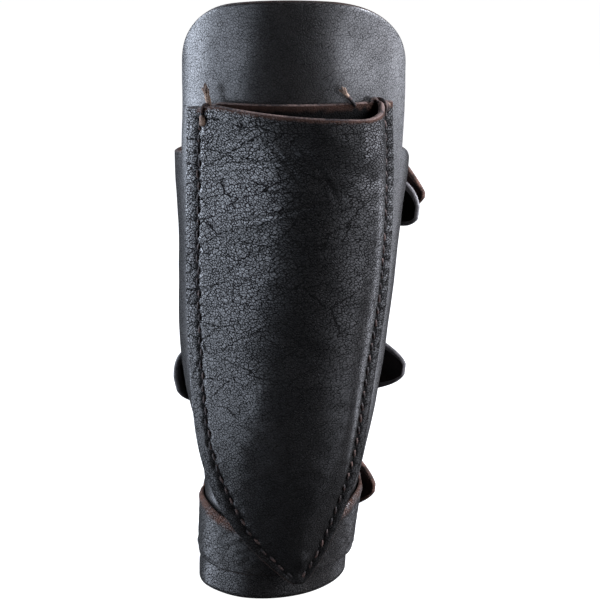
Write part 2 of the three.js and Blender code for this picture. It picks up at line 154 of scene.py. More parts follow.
# It is duller at the tip and at the right of the lip and darker there with painted shade, and steep cracks
# cross the ridge high up
DULL_SHADE, TIP_DULL_SHADE_HEIGHTS, LIP_DULL_SHADE_ACROSS, LIP_DULL_SHADE_HEIGHTS = 0.5, (110, 45), (16, 27), (186, 206)
STEEP_LEFT, STEEP_RIGHT, STEEP_HEIGHTS = (-14, -2), (18, 30), (130, 175)
# Painted shade along the stitch grooves and over the back layer inside the pocket, and how far the back's lip
# is rubbed bare
GROOVE_SHADE, BACK_POCKET_SHADE, BACK_BARE_LIP, BACK_WORN_LIP = 0.95, 0.9, 0.4, (3.0, 1.0)

# Unevenness of the leather, as waves: height, length, seed
SHELL_WAVES = ((0.34, 46, 3), (0.14, 17, 4))
SHEATH_WAVES = ((0.3, 34, 11), (0.12, 12, 12))
BAND_BUMPS = ((0.16, 6, 24),)
BAND_WEAR, BAND_PATCHES = ((0.9, 9, 21), (0.5, 3.5, 22)), ((0.25, 5, 23),)
LIP_WEAR, BACK_LIP_WEAR = ((0.35, 4, 31),), ((0.8, 5, 32),)

# Straps: heights at the left and right, angle and peel of the sewn end, length of the free tail,
# leather below, how blunt the tail's point is and how long
Strap = namedtuple("Strap", "name left right end_angle peel tail below blunt point")
STRAPS = (
    Strap("upper", 173, 177, -116, 0, 28.4, 0, 0.8, 13),
    Strap("middle", 90.5, 93.5, -95, 3, 26.3, 0, 0.48, 20),
    Strap("lower", 35, 34, -116, 0, 18.3, 3.1, 0.62, 13),
)
STRAP_WIDTH, HEEL_ANGLE, END_ROUND, END_ROUND_BELOW = 25.0, 135.0, 12.5, 26.0
END_BLUNT, TIP_BLUNT, PEEL_LENGTH, LEAN_SHARE = 0.5, 0.6, 22, 0.8
# A strap climbs over the heel bar of its buckle
STRAP_OVER_HEEL, CLIMB_FROM, CLIMB_LENGTH = 7.1, -14, 11
HOLE_HALF, HOLE_INNER, HOLE_FROM, HOLE_TO = 1.9, 0.6, 4.0, 12.0
RAW_TAIL_FROM, END_TRIM, STRAP_CRACKS = -2, 3.4, 0.5
BAR_RADIUS, NEAR_BAR, HEEL_RISE, NEAR_RISE = 1.6, 16.0, 2.2, 5.05
BUCKLE_HALF, BUCKLE_CORNER, BUCKLE_MIDDLE = 15.2, 3.5, -8.0
# The prong: distance from the heel bar, height
PRONG_RADIUS, PRONG_TIP, PRONG_TIP_SHARE = 1.2, (16.4, 18), 0.6
PRONG_PATH = ((0.2, HEEL_RISE + 0.2), (6, 4.2), (13, 6.9), (18, 7.3))
# Chapes: length past the heel bar, length of the rounded end, how far that end stands off and droops
CHAPES = {"upper": (33, 15, 6, -5.6), "middle": (17, 7, 0, 0), "lower": (17, 7, 0, 0)}
CHAPE_SEAT, CHAPE_HALF, CHAPE_ROUND_BELOW, CHAPE_CRACKS = 14.0, 11.0, 1.5, 0.4
# A chape bulges over the heel bar, and a slot in it lets the prong through
CHAPE_BUMP, BUMP_REACH, BUMP_FULL, SLOT_FROM, SLOT_HALF = 4.2, 6.5, 2.4, 1.2, 2.2

# Thread at the mouth: share of the thread's width, then places as across, height and out
THREAD_STEP, THREAD_SIDES, THREAD_END_SHARE, THREAD_END = 0.5, 7, 0.55, (0.7, 1.0)
THREAD_UPRIGHT = (0.31, 0.17, 0.93)
FRAYS = (
    (1.7, (-33.2, 227.2, 4.6), (-34.0, 228.6, 3.6), (-34.6, 230.4, 3.4), (-35.4, 232.0, 3.4)),
    (0.8, (-34.8, 230.2, 3.4), (-36.0, 232.6, 3.4), (-37.4, 234.4, 3.0)),
    (0.8, (-35.0, 230.8, 3.6), (-35.8, 233.4, 3.4), (-36.0, 236.6, 3.0)),
    (0.8, (-35.0, 230.8, 3.2), (-35.2, 233.6, 3.6), (-34.9, 236.0, 3.4)),
    (0.7, (-34.6, 230.0, 3.6), (-33.9, 232.4, 3.8), (-34.3, 234.6, 3.4)),
    (0.7, (-35.2, 231.2, 3.0), (-36.6, 233.0, 2.6), (-38.2, 233.6, 2.4)),
    (1.9, (-35.9, 222.4, 5.6), (-35.3, 221.1, 6.3), (-35.6, 219.7, 6.1), (-36.6, 218.8, 5.4)),
    (1.3, (24.0, 231.5, 2.9), (22.8, 232.9, 2.9), (21.8, 234.2, 2.8)),
    (0.9, (23.2, 232.4, 2.9), (22.0, 234.2, 3.2), (21.4, 235.8, 3.0)),
    (0.9, (23.2, 232.4, 2.7), (21.8, 233.6, 2.4), (20.4, 234.5, 2.4)),
    (0.8, (23.4, 232.2, 3.0), (22.8, 234.0, 3.4), (22.5, 235.4, 3.2)),
    (0.8, (40.2, 228.2, 5.2), (41.6, 227.3, 5.9), (41.9, 225.8, 5.7)),
)
WRAPS = (
    (1.3, (27.4, 227.4, 2.0), (26.6, 228.6, 2.6), (25.4, 229.9, 2.9), (23.4, 232.2, 2.9)),
    (1.1, (-33.2, 227.6, 4.8), (-34.8, 227.5, 5.8), (-35.9, 225.0, 6.0), (-35.6, 222.2, 5.6)),
    (1.2, (39.6, 223.2, 5.2), (39.9, 226.6, 6.1), (39.6, 228.8, 5.0), (38.6, 229.6, 2.6),
     (37.4, 228.9, 1.0)),
    (1.0, (41.0, 224.4, 5.2), (40.9, 227.2, 5.9), (40.2, 228.9, 4.4), (39.4, 229.3, 2.0),
     (38.6, 228.6, 0.8)),
    (0.9, (38.0, 228.0, 3.4), (37.0, 229.8, 3.0), (35.4, 229.5, 2.4), (34.2, 228.4, 2.6)),
)

# Cells of the grain: size, stretch, turn in radians, warp, width of the crack as a share of the cell
CELL_SIZES = ("Cell", "Stretch", "Turn", "Warp", "Line")
FURROWS, SLANTS = (24.0, 0.34, -0.3, 2.4, 0.036), (20.0, 0.34, 1.05, 2.4, 0.034)
PLATES, PEBBLES = (2.7, 0.72, -0.2, 1.3, 0.14), (1.35, 0.72, 0.75, 1.5, 0.25)
# Noise that warps the cells: scale for a millimetre, detail, roughness
SWAY = (0.45, 2.0, 0.5)
# Noise in the leather: scale for a metre, detail, roughness
BROAD, PATCHY, SPARSE, FIBROUS = (75.0, 2.0, 0.5), (260.0, 3.0, 0.6), (420.0, 2.0, 0.6), (900.0, 4.0, 0.7)
# Grain finishes: share of the leather's tone, furrows, net of cracks, pebbles, depth, roughness more
# than the user's, index of the wax
GRAINS = {
    "shell_grain": (1.0, 0.1, 0.4, 0.9, 2.1, -0.04, 1.7),
    "band_grain": (1.0, 0.1, 0.8, 0.7, 1.2, 0.0, 1.57),
    "sheath_grain": (0.55, 0.95, 0.8, 1.0, 0.65, -0.05, 2.0),
    "strap_grain": (1.0, 0.1, 0.3, 0.5, 0.5, 0.04, 1.55),
}
# Fibre finishes: dark and pale tone, each fixed or a share of one that the user chooses, scale for a
# metre, roughness, bump, noise at which the tones start and end to blend, shine
FIBRES = {
    "raw_edge": (("raw_edge", 0.07), ("raw_edge", 1.0), 1400.0, 0.82, 0.7, (0.39, 0.72), 0.35),
    "lip_edge": ((0.012, 0.008, 0.008), (0.15, 0.1, 0.085), 800.0, 0.8, 0.8, (0.42, 0.66), 0.35),
    "dyed_edge": (("leather", 1.0), ("raw_edge", 0.25), 900.0, 0.58, 0.4, (0.35, 0.75), 0.15),
    "worn_edge": ((0.03, 0.027, 0.027), (0.12, 0.11, 0.11), 700.0, 0.55, 0.3, (0.35, 0.75), 0.2),
    "burnished_edge": ((0.09, 0.083, 0.083), (0.27, 0.255, 0.255), 700.0, 0.45, 0.3, (0.35, 0.75), 0.35),
    "flesh_side": ((0.003, 0.0022, 0.0022), (0.014, 0.009, 0.008), 1600.0, 0.88, 0.6, (0.35, 0.75), 0.12),
    "strap_flesh": ((0.004, 0.003, 0.003), (0.036, 0.015, 0.012), 1600.0, 0.88, 0.6, (0.35, 0.75), 0.15),
    "waxed_thread": ((0.009, 0.007, 0.007), ("thread", 1.0), 2600.0, 0.6, 0.5, (0.5, 0.72), 0.35),
    "frayed_thread": (("raw_edge", 0.3), ("fray", 1.0), 2200.0, 0.75, 0.5, (0.35, 0.75), 0.35),
}
# Bump of the leather and the steel, in metres
BUMP_DEPTH, STEEL_BUMP_DEPTH = 0.0005, 0.0002

# The stage, in metres: floor, softboxes as azimuth from the front, height, width, height of the box and
# power, and the camera, which looks down a little on the bracer
FLOOR = ((-9, -6, 0), (9, -6, 0), (9, 14, 0), (-9, 14, 0))
SOFTBOXES = {
    "left": (-102, 0.3, 0.65, 0.6, 11.6),
    "left_front": (-60, 0.3, 0.7, 0.6, 5.0),
    "left_low": (-66, -0.3, 0.65, 0.6, 2.6),
    "left_low_back": (-106, -0.3, 0.6, 0.6, 3.8),
    "left_high": (-130, 0.95, 0.4, 0.7, 18.0),
    "right": (100, 0.3, 0.7, 0.6, 7.4),
    "right_front": (60, 0.3, 0.7, 0.6, 8.2),
    "right_back": (128, 0.0, 0.5, 1.0, 3.0),
    "right_low": (45, -0.3, 0.7, 0.6, 1.0),
    "right_high": (90, 0.95, 0.4, 0.7, 40.0),
}
LEFT_LIGHT, RIGHT_LIGHT = (0.77, 0.85, 1.0), (0.86, 0.89, 1.0)
FLOOR_TONE, ROOM_TONE, PAPER_TONE = (0.3, 0.3, 0.3, 1.0), (0.004, 0.004, 0.004, 1.0), (1.0, 1.0, 1.0, 1.0)
CAMERA_PLACE, CAMERA_DOWN, CAMERA_LENS, CAMERA_SENSOR = (0.0, -0.7702, 0.3255), 14.0, 104.64, 36.0


def clamp01(value):
    return np.clip(value, 0.0, 1.0)


def mix(a, b, t):
    return a + (b - a) * t


def smooth(low, high, value):
    t = clamp01((value - low) / (high - low))
    return t * t * (3 - 2 * t)


def unit(vectors):
    return vectors / np.maximum(np.linalg.norm(vectors, axis=-1, keepdims=True), 1e-9)


def stretches(*parts):
    """A row of places from stretches of start, end and count, each starting where the last one ends."""
    rows = [np.linspace(*part)[:-1] for part in parts]
    return np.concatenate([*rows, [parts[-1][1]]])


def column(table, at, value):
    """A smooth curve through one column of a table whose first column is the place."""
    rows = np.asarray(table, float)
    keys, values = rows[:, 0], rows[:, value]
    last = len(keys) - 1
    low, high = np.maximum(np.arange(last + 1) - 1, 0), np.minimum(np.arange(last + 1) + 1, last)
    slopes = (values[high] - values[low]) / (keys[high] - keys[low])
    place = np.clip(at, keys[0], keys[-1])
    i = np.clip(np.searchsorted(keys, place, side="left") - 1, 0, last - 1)
    span = keys[i + 1] - keys[i]
    t = (place - keys[i]) / span
    start = values[i] * (1 + 2 * t) * (1 - t) ** 2 + slopes[i] * span * t * (1 - t) ** 2
    return start + values[i + 1] * (3 - 2 * t) * t * t + slopes[i + 1] * span * (t - 1) * t * t


def ripple(x, y, wave, seed, terms=14):
    """A sum of slanted waves of about one length, from -1 to 1."""
    rng = np.random.default_rng(seed)
    total = np.zeros(np.broadcast(x, y).shape)
    for _ in range(terms):
        turn = rng.uniform(0, math.tau)
        size = wave * rng.uniform(0.6, 1.5)
        phase = rng.uniform(0, math.tau)
        total = total + np.sin((x * math.cos(turn) + y * math.sin(turn)) * math.tau / size + phase)
    return total / (1.4 * math.sqrt(terms))


def uneven(x, y, kinds):
    """Soft uneven leather: waves of several kinds on top of each other."""
    return sum(height * ripple(x, y, length, seed) for height, length, seed in kinds)


def front_line(z):
    return -mix(FRONT_AT_HEM, FRONT_AT_TOP, z / HEIGHT)


def arm_point(angle, z, out):
    """A place on the arm, moved out of the shell's outer face."""
    angle, z, out = np.broadcast_arrays(*(np.asarray(v, float) for v in (angle, z, out)))
    a, b, centre, shear = (column(ARM_SECTIONS, z, k) for k in (1, 2, 3, 4))
    s, c = np.sin(np.radians(angle)), np.cos(np.radians(angle))
    nx, ny = b * s + shear * c, -a * c
    size = np.hypot(nx, ny)
    x = centre + a * s + nx / size * out
    y = front_line(z) + b - b * c + shear * s + ny / size * out
    return np.stack([x, y, z], -1)


def plate_point(across, z, out):
    """A place on the sheath plate, moved out of its back face."""
    across, z, out = np.broadcast_arrays(*(np.asarray(v, float) for v in (across, z, out)))
    t = (z - TIP_HEIGHT) / (MOUTH_HEIGHT - TIP_HEIGHT)
    radius = mix(PLATE_RADIUS_TIP, PLATE_RADIUS_TOP, t)
    low = (1 - t) ** 2
    dx = (radius + out) * np.sin(across / radius)
    dy = radius - (radius + out) * np.cos(across / radius)
    turn = np.radians(PLATE_TURN_TIP * low)
    x = mix(PLATE_MIDDLE_TIP, PLATE_MIDDLE_TOP, t) + dx * np.cos(turn) - dy * np.sin(turn)
    y = front_line(z) - mix(PLATE_OFF_TOP, PLATE_OFF_TIP, low) + dx * np.sin(turn) + dy * np.cos(turn)
    return np.stack([x, y, z], -1)


def cut_pattern(along, up, start=0.5):
    """Places on the flat cut pattern, where the grain lies."""
    return np.stack([start + along / CUT_SIZE, up / CUT_SIZE], -1)


def arm_pattern(angle, z):
    reach = (column(ARM_SECTIONS, z, 1) + column(ARM_SECTIONS, z, 2)) / 2
    return cut_pattern(np.radians(angle) * reach, z)


# Meshes


def smooth_mesh(name, points, faces, looks):
    mesh = bpy.data.meshes.new(name)
    mesh.from_pydata((np.asarray(points) * MM).tolist(), [], faces)
    for look in looks:
        mesh.materials.append(look)
    mesh.polygons.foreach_set("use_smooth", np.ones(len(faces), bool))
    return mesh


def link(name, mesh):
    mesh.validate()
    mesh.update()
    piece = bpy.data.objects.new(name, mesh)
    bpy.context.scene.collection.objects.link(piece)
    return piece


def settle(piece, slot, *nodes):
    """Every piece rides on the one body and stands for its solids."""
    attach(piece, BODY)
    if nodes:
        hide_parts(*nodes)


def grid_corners(rows, wide):
    """Numbers of the four points round each cell of a grid."""
    index = np.arange(rows * wide).reshape(rows, wide)
    return index[:-1, :-1], index[:-1, 1:], index[1:, 1:], index[1:, :-1]


def sheet_rim(outer, keep):
    """The open edges of a sheet as pairs of points, and the way out of the sheet at each point."""
    a, b, c, d = grid_corners(*outer.shape[:2])
    pad = np.pad(keep, 1)
    sides = (
        (a, b, ~pad[:-2, 1:-1]), (b, c, ~pad[1:-1, 2:]), (c, d, ~pad[2:, 1:-1]), (d, a, ~pad[1:-1, :-2]),
    )
    first = np.concatenate([start[keep & free] for start, end, free in sides])
    second = np.concatenate([end[keep & free] for start, end, free in sides])
    normal = unit(np.cross(np.gradient(outer, axis=1), np.gradient(outer, axis=0))).reshape(-1, 3)
    flat = outer.reshape(-1, 3)
    aside = unit(np.cross(flat[second] - flat[first], normal[first]))
    away = np.zeros(flat.shape)
    np.add.at(away, first, aside)
    np.add.at(away, second, aside)
    return first, second, unit(away)


def leather_sheet(name, outer, inner, pattern, looks, fields, keep=None, raw=None, trim=None):
    """A closed sheet between two grids of points, with a rounded rim.

    Looks are for the grain side, the flesh side, the raw rim and the dyed rim. Keep marks the cells that
    are there, raw the points of the raw rim, and trim the places of the flesh side that look like the rim.
    """
    rows, wide = outer.shape[:2]
    count = rows * wide
    keep = np.ones((rows - 1, wide - 1), bool) if keep is None else keep
    raw = np.zeros((rows, wide), bool) if raw is None else raw
    trim = np.zeros((rows, wide), bool) if trim is None else trim
    quads = np.stack([corner[keep] for corner in grid_corners(rows, wide)], -1)
    first, second, away = sheet_rim(outer, keep)
    rim = np.unique(np.concatenate([first, second]))
    place = np.full(count, -1)
    place[rim] = np.arange(len(rim))

    def level(point, step):
        if step == 0:
            return point
        return point + count if step > RIM_STEPS else 2 * count + (step - 1) * len(rim) + place[point]

    flat, under = outer.reshape(-1, 3), inner.reshape(-1, 3)
    thick = np.linalg.norm(flat[rim] - under[rim], axis=1, keepdims=True)
    rim_look = np.where(raw.reshape(-1), RAW_RIM, DYED_RIM)
    trimmed = trim[:-1, :-1][keep] & trim[1:, 1:][keep]
    points, faces = [flat, under], [quads, quads[:, ::-1] + count]
    marks = [np.full(len(quads), GRAIN_SIDE), np.where(trimmed, rim_look[quads[:, 0]], FLESH_SIDE)]
    for step in range(RIM_STEPS + 1):
        ends = (level(second, step), level(first, step), level(first, step + 1), level(second, step + 1))
        faces.append(np.stack(ends, -1))
        marks.append(np.maximum(rim_look[first], rim_look[second]))
    for step in range(RIM_STEPS):
        t = (step + 1) / (RIM_STEPS + 1)
        bulge = thick * RIM_BULGE * math.sin(math.pi * t)
        points.append(mix(flat[rim], under[rim], t) + away[rim] * bulge)
    points, faces, marks = np.concatenate(points), np.concatenate(faces), np.concatenate(marks)
    used = np.unique(faces)
    fresh = np.full(len(points), -1)
    fresh[used] = np.arange(len(used))

    def on_all(values):
        return np.concatenate([values, values] + [values[rim]] * RIM_STEPS).astype(np.float32)

    mesh = smooth_mesh(name, points[used], fresh[faces].tolist(), looks)
    mesh.polygons.foreach_set("material_index", marks.astype(np.int32))
    cut = on_all(pattern.reshape(-1, 2))[faces.reshape(-1)]
    mesh.uv_layers.new(name="Cut").data.foreach_set("uv", cut.reshape(-1))
    for key, value in fields.items():
        whole = on_all(np.broadcast_to(value, (rows, wide)).reshape(-1))[used]
        mesh.attributes.new(key, "FLOAT", "POINT").data.foreach_set("value", whole)
    return link(name, mesh)


def round_bar(points, upright, radius, closed, sides=16):
    """Vertices and faces of a bar along a row of points; radius may change along it."""
    points = np.asarray(points, float)
    count = len(points)
    radius = np.broadcast_to(radius, (count,))
    if closed:
        along = unit(np.roll(points, -1, 0) - np.roll(points, 1, 0))
    else:
        along = unit(np.gradient(points, axis=0))
    side = unit(np.cross(along, np.broadcast_to(upright, points.shape)))
    up = np.cross(side, along)
    turn = np.arange(sides) * math.tau / sides
    ring = side[:, None] * np.cos(turn)[None, :, None] + up[:, None] * np.sin(turn)[None, :, None]
    verts = (points[:, None] + ring * radius[:, None, None]).reshape(-1, 3)
    faces = []
    for i in range(count if closed else count - 1):
        n = (i + 1) % count
        for k in range(sides):
            m = (k + 1) % sides
            faces.append((i * sides + k, n * sides + k, n * sides + m, i * sides + m))
    if not closed:
        faces.append(tuple(range(sides)))
        faces.append(tuple((count - 1) * sides + k for k in reversed(range(sides))))
    return verts, faces


def joined_mesh(name, parts, look):
    """One mesh from several lots of points and faces."""
    verts, faces = [], []
    for part, polygons in parts:
        base = len(verts)
        verts.extend(part.tolist())
        faces.extend(tuple(v + base for v in face) for face in polygons)
    return link(name, smooth_mesh(name, verts, faces, [look]))


# Finishes


def feed(tree, node, feeds):
    """Fill a node's sockets, each by a link from another node's socket or by a plain value."""
    for key, value in feeds.items():
        if isinstance(value, bpy.types.NodeSocket):
            tree.links.new(value, node.inputs[key])
        else:
            node.inputs[key].default_value = value


def add_node(tree, kind, feeds=None, **settings):
    node = tree.nodes.new(kind)
    for key, value in settings.items():
        setattr(node, key, value)
    feed(tree, node, feeds or {})
    return node


def math_node(tree, operation, *values, clamp=False):
    feeds = dict(enumerate(values))
    return add_node(tree, "ShaderNodeMath", feeds, operation=operation, use_clamp=clamp).outputs[0]


def span_node(tree, value, low, high, to_low=0.0, to_high=1.0, curve="SMOOTHSTEP"):
    feeds = {"Value": value, "From Min": low, "From Max": high, "To Min": to_low, "To Max": to_high}
    return add_node(tree, "ShaderNodeMapRange", feeds, interpolation_type=curve).outputs["Result"]


def colour_mix(tree, factor, first, second):
    feeds = {0: factor, 6: first, 7: second}
    return add_node(tree, "ShaderNodeMix", feeds, data_type="RGBA").outputs[2]


def noise_node(tree, vector, scale, detail, rough, dimensions="3D", output="Fac"):
    feeds = {"Vector": vector, "Scale": scale, "Detail": detail, "Roughness": rough}
    return add_node(tree, "ShaderNodeTexNoise", feeds, noise_dimensions=dimensions).outputs[output]


def attribute_node(tree, name):
    return add_node(tree, "ShaderNodeAttribute", attribute_name=name).outputs["Fac"]


def object_place(tree):
    return add_node(tree, "ShaderNodeTexCoord").outputs["Object"]


def new_tree(name, kind, inputs, outputs):
    """An empty node group, the sockets that it is given and the node that it ends in."""
    tree = bpy.data.node_groups.new(name, kind)
    for way, sockets in (("INPUT", inputs), ("OUTPUT", outputs)):
        for label, sort in sockets.items():
            tree.interface.new_socket(name=label, in_out=way, socket_type="NodeSocket" + sort)
    return tree, tree.nodes.new("NodeGroupInput").outputs, tree.nodes.new("NodeGroupOutput")


def grain_group():
    """Leather cells on the cut pattern: raised pebbles and the fine cracks between them."""
    if "Leather cells" in bpy.data.node_groups:
        return bpy.data.node_groups["Leather cells"]
    inputs = {"Vector": "Vector", **{label: "Float" for label in CELL_SIZES}}
    outputs = {"Height": "Float", "Crack": "Float"}
    tree, given, result = new_tree("Leather cells", "ShaderNodeTree", inputs, outputs)

    def vector(operation, feeds):
        return add_node(tree, "ShaderNodeVectorMath", feeds, operation=operation).outputs[0]

    scaled = vector("SCALE", {0: given["Vector"], "Scale": CUT_SIZE})
    sway = noise_node(tree, scaled, *SWAY, "2D", "Color")
    shift = vector("SUBTRACT", {0: sway, 1: (0.5, 0.5, 0.5)})
    moved = vector("ADD", {0: scaled, 1: vector("SCALE", {0: shift, "Scale": given["Warp"]})})
    feeds = {"Vector": moved, "Angle": given["Turn"]}
    turned = add_node(tree, "ShaderNodeVectorRotate", feeds, rotation_type="Z_AXIS").outputs[0]
    tall = math_node(tree, "MULTIPLY", given["Cell"], given["Stretch"])
    shares = {"X": math_node(tree, "DIVIDE", 1.0, given["Cell"]), "Y": math_node(tree, "DIVIDE", 1.0, tall)}
    share = add_node(tree, "ShaderNodeCombineXYZ", shares).outputs[0]
    feeds = {"Vector": vector("MULTIPLY", {0: turned, 1: share}), "Scale": 1.0}
    cells = add_node(
        tree, "ShaderNodeTexVoronoi", feeds, voronoi_dimensions="2D", feature="DISTANCE_TO_EDGE"
    )
    distance = cells.outputs["Distance"]
    line = math_node(tree, "DIVIDE", distance, given["Line"])
    tree.links.new(span_node(tree, distance, 0.0, 0.2), result.inputs["Height"])
    tree.links.new(span_node(tree, line, 0.2, 1.0, 1.0, 0.0), result.inputs["Crack"])
    return tree


def cells_node(tree, vector, sizes):
    feeds = {"Vector": vector, **dict(zip(CELL_SIZES, sizes))}
    return add_node(tree, "ShaderNodeGroup", feeds, node_tree=grain_group()).outputs


def start_material(name):
    look = bpy.data.materials.new(name)
    look.use_nodes = True
    return look, look.node_tree, look.node_tree.nodes["Principled BSDF"]


def bump_node(tree, height, strength, distance):
    feeds = {"Strength": strength, "Distance": distance, "Height": height}
    return add_node(tree, "ShaderNodeBump", feeds).outputs["Normal"]


def tone_of(given, share=1.0):
    """A fixed colour, or a share of one that the user chooses."""
    if isinstance(given[0], str):
        chosen, part = given
        given = [v * part for v in getattr(bpy.context.scene.bracer_finish, chosen)[:3]]
    return (*[min(1.0, v * share) for v in given], 1.0)


def grain_leather(name, part, furrow, net, pebble, depth, rougher, wax_index):
    """Black waxed leather: flat glossy plates between cracks darkened by painted shade, fine pebbles, brown
    where it is bare.
    """
    look, tree, shader = start_material(name)
    gloss = bpy.context.scene.bracer_finish.gloss + rougher
    cut = add_node(tree, "ShaderNodeUVMap", uv_map="Cut").outputs["UV"]
    place = object_place(tree)
    furrows, slants, plates, pebbles = (
        cells_node(tree, cut, kind) for kind in (FURROWS, SLANTS, PLATES, PEBBLES)
    )
    broad, patchy, sparse, fibrous = (
        noise_node(tree, place, *kind) for kind in (BROAD, PATCHY, SPARSE, FIBROUS)
    )
    field, bare = attribute_node(tree, "crackle"), attribute_node(tree, "rawness")

    steep = math_node(tree, "MULTIPLY", slants["Crack"], attribute_node(tree, "steep"))
    long_cracks = math_node(tree, "MAXIMUM", furrows["Crack"], steep)
    shown = span_node(tree, broad, 0.32, 0.52, 0.1 * furrow, furrow)
    long_cracks = math_node(tree, "MULTIPLY", long_cracks, shown)
    shown = span_node(tree, patchy, 0.34, 0.6, 0.15 * net, net)
    short_cracks = math_node(tree, "MULTIPLY", plates["Crack"], shown)
    cracks = math_node(tree, "MAXIMUM", long_cracks, short_cracks)
    cracks = math_node(tree, "MULTIPLY", cracks, field, clamp=True)
    shown = span_node(tree, field, 0.2, 1.0, 0.5 * pebble, pebble)
    gaps = math_node(tree, "MULTIPLY", pebbles["Crack"], shown)
    gaps = math_node(tree, "MULTIPLY", gaps, span_node(tree, sparse, 0.32, 0.6, 0.6, 1.0))
    # Where the leather gets painted shade and is made rougher: cracks, the marked shaded places and the gaps
    # between pebbles
    dark_line = math_node(tree, "MAXIMUM", cracks, attribute_node(tree, "seam"))
    shade_mask = math_node(tree, "MAXIMUM", dark_line, math_node(tree, "MULTIPLY", gaps, 0.8))

    plate_rise = math_node(tree, "MULTIPLY", field, 0.5 * net)
    relief = math_node(tree, "MULTIPLY", plates["Height"], plate_rise)
    relief = math_node(tree, "MULTIPLY_ADD", pebbles["Height"], 0.9, relief)
    crack_fall = math_node(tree, "MULTIPLY", field, -0.8)
    relief = math_node(tree, "MULTIPLY_ADD", long_cracks, crack_fall, relief)

    wax = span_node(tree, patchy, 0.25, 0.75, 0.75, 1.0)
    wax = math_node(tree, "MULTIPLY_ADD", gaps, -1.0, wax)
    wax = math_node(tree, "MULTIPLY_ADD", dark_line, -1.0, wax, clamp=True)
    wax = math_node(tree, "MULTIPLY_ADD", bare, -0.9, wax, clamp=True)

    tone = tone_of(("leather", part))
    colour = colour_mix(tree, span_node(tree, broad, 0.4, 0.7), tone, tone_of(tone[:3], 1.6))
    # Painted shade darkens the colour there
    colour = colour_mix(tree, shade_mask, colour, tone_of(tone[:3], 0.15))
    brown = colour_mix(tree, fibrous, tone_of(("raw_edge", 0.35)), tone_of(("raw_edge", 1.0)))
    rough = math_node(tree, "MULTIPLY_ADD", shade_mask, 0.45, gloss + 0.14)
    feed(tree, shader, {
        "Base Color": colour_mix(tree, bare, colour, brown),
        "Roughness": math_node(tree, "MULTIPLY_ADD", bare, 0.35, rough, clamp=True),
        "Coat Weight": wax, "Coat Roughness": gloss, "Coat IOR": wax_index, "Specular IOR Level": 0.12,
        "Normal": bump_node(tree, relief, 1.0, BUMP_DEPTH * depth),
    })
    return look


def fibre_look(name, low, high, scale, rough, bump, spread, shine):
    """Cut fibres: raw edges, dyed edges, the flesh side and thread share this make-up."""
    look, tree, shader = start_material(name)
    place = object_place(tree)
    fibres = noise_node(tree, place, scale, 5.0, 0.7)
    patches = noise_node(tree, place, scale * 0.12, 2.0, 0.5)
    blend = math_node(tree, "MULTIPLY_ADD", patches, 0.5, math_node(tree, "MULTIPLY", fibres, 0.6))
    feed(tree, shader, {
        "Base Color": colour_mix(tree, span_node(tree, blend, *spread), tone_of(low), tone_of(high)),
        "Roughness": span_node(tree, fibres, 0.2, 0.8, rough - 0.08, rough + 0.08, "LINEAR"),
        "Specular IOR Level": shine, "Normal": bump_node(tree, fibres, bump, BUMP_DEPTH),
    })
    return look


def steel_look(name):
    """Dull drawn steel with darker stains."""
    look, tree, shader = start_material(name)
    place = object_place(tree)
    drawn = add_node(tree, "ShaderNodeMapping", {"Vector": place, "Scale": (1.0, 1.0, 0.12)}).outputs[0]
    lines = noise_node(tree, drawn, 3200.0, 3.0, 0.6)
    stain = span_node(tree, noise_node(tree, place, 240.0, 3.0, 0.6), 0.45, 0.75)
    feed(tree, shader, {
        "Base Color": colour_mix(tree, stain, tone_of(("steel", 1.0)), tone_of(("steel", 0.45))),
        "Roughness": span_node(tree, lines, 0.3, 0.7, 0.3, 0.46, "LINEAR"),
        "Metallic": 1.0, "Normal": bump_node(tree, lines, 0.15, STEEL_BUMP_DEPTH),
    })
    return look


def finish(name):
    """One finish by name, made the first time that a piece asks for it."""
    if name in bpy.data.materials:
        return bpy.data.materials[name]
    if name in GRAINS:
        return grain_leather(name, *GRAINS[name])
    if name in FIBRES:
        return fibre_look(name, *FIBRES[name])
    if name == "dull_steel":
        return steel_look(name)
    raise KeyError(name)


def leather_looks(grain, flesh="flesh_side", raw="raw_edge", rim="dyed_edge"):
    return [finish(name) for name in (grain, flesh, raw, rim)]


# Shapes of the pieces


def on_arm(angle, z, out):
    """A place on the arm, on the slow unevenness of the worn shell."""
    free = np.maximum(smooth(*FREE_HEIGHTS, z), smooth(*FREE_ANGLES, np.abs(angle)))
    wave = uneven(np.radians(angle) * SHELL_RADIUS, z, SHELL_WAVES) * mix(HELD_WAVES, 1.0, free)
    return arm_point(angle, z, out + wave)


def tongue_top(angle):
    leaning = np.abs(angle + TONGUE_LEAN * clamp01(1 - np.abs(angle) / TONGUE_ANGLE))
    part = leaning / TONGUE_ANGLE
    corner = CORNER_ANGLE + np.where(angle > 0, CORNER_MORE, 0.0)
    into = clamp01((leaning - TONGUE_ANGLE + corner) / corner)
    return HEIGHT - TONGUE_CROWN * part * part - CORNER_DROP * (1 - np.sqrt(1 - into * into))


def shell_angles():
    """Half of the shell's columns, closer together at the tongue's round corners, then both halves."""
    flat = np.linspace(0, TONGUE_ANGLE - CORNER_ANGLE, 29)[:-1]
    corner = TONGUE_ANGLE - CORNER_ANGLE * np.linspace(1, 0, 25) ** 2
    wing = np.linspace(TONGUE_ANGLE, WING_ANGLE, 57)[1:]
    right = np.concatenate([flat, corner, wing])
    return np.concatenate([-right[:0:-1], right])


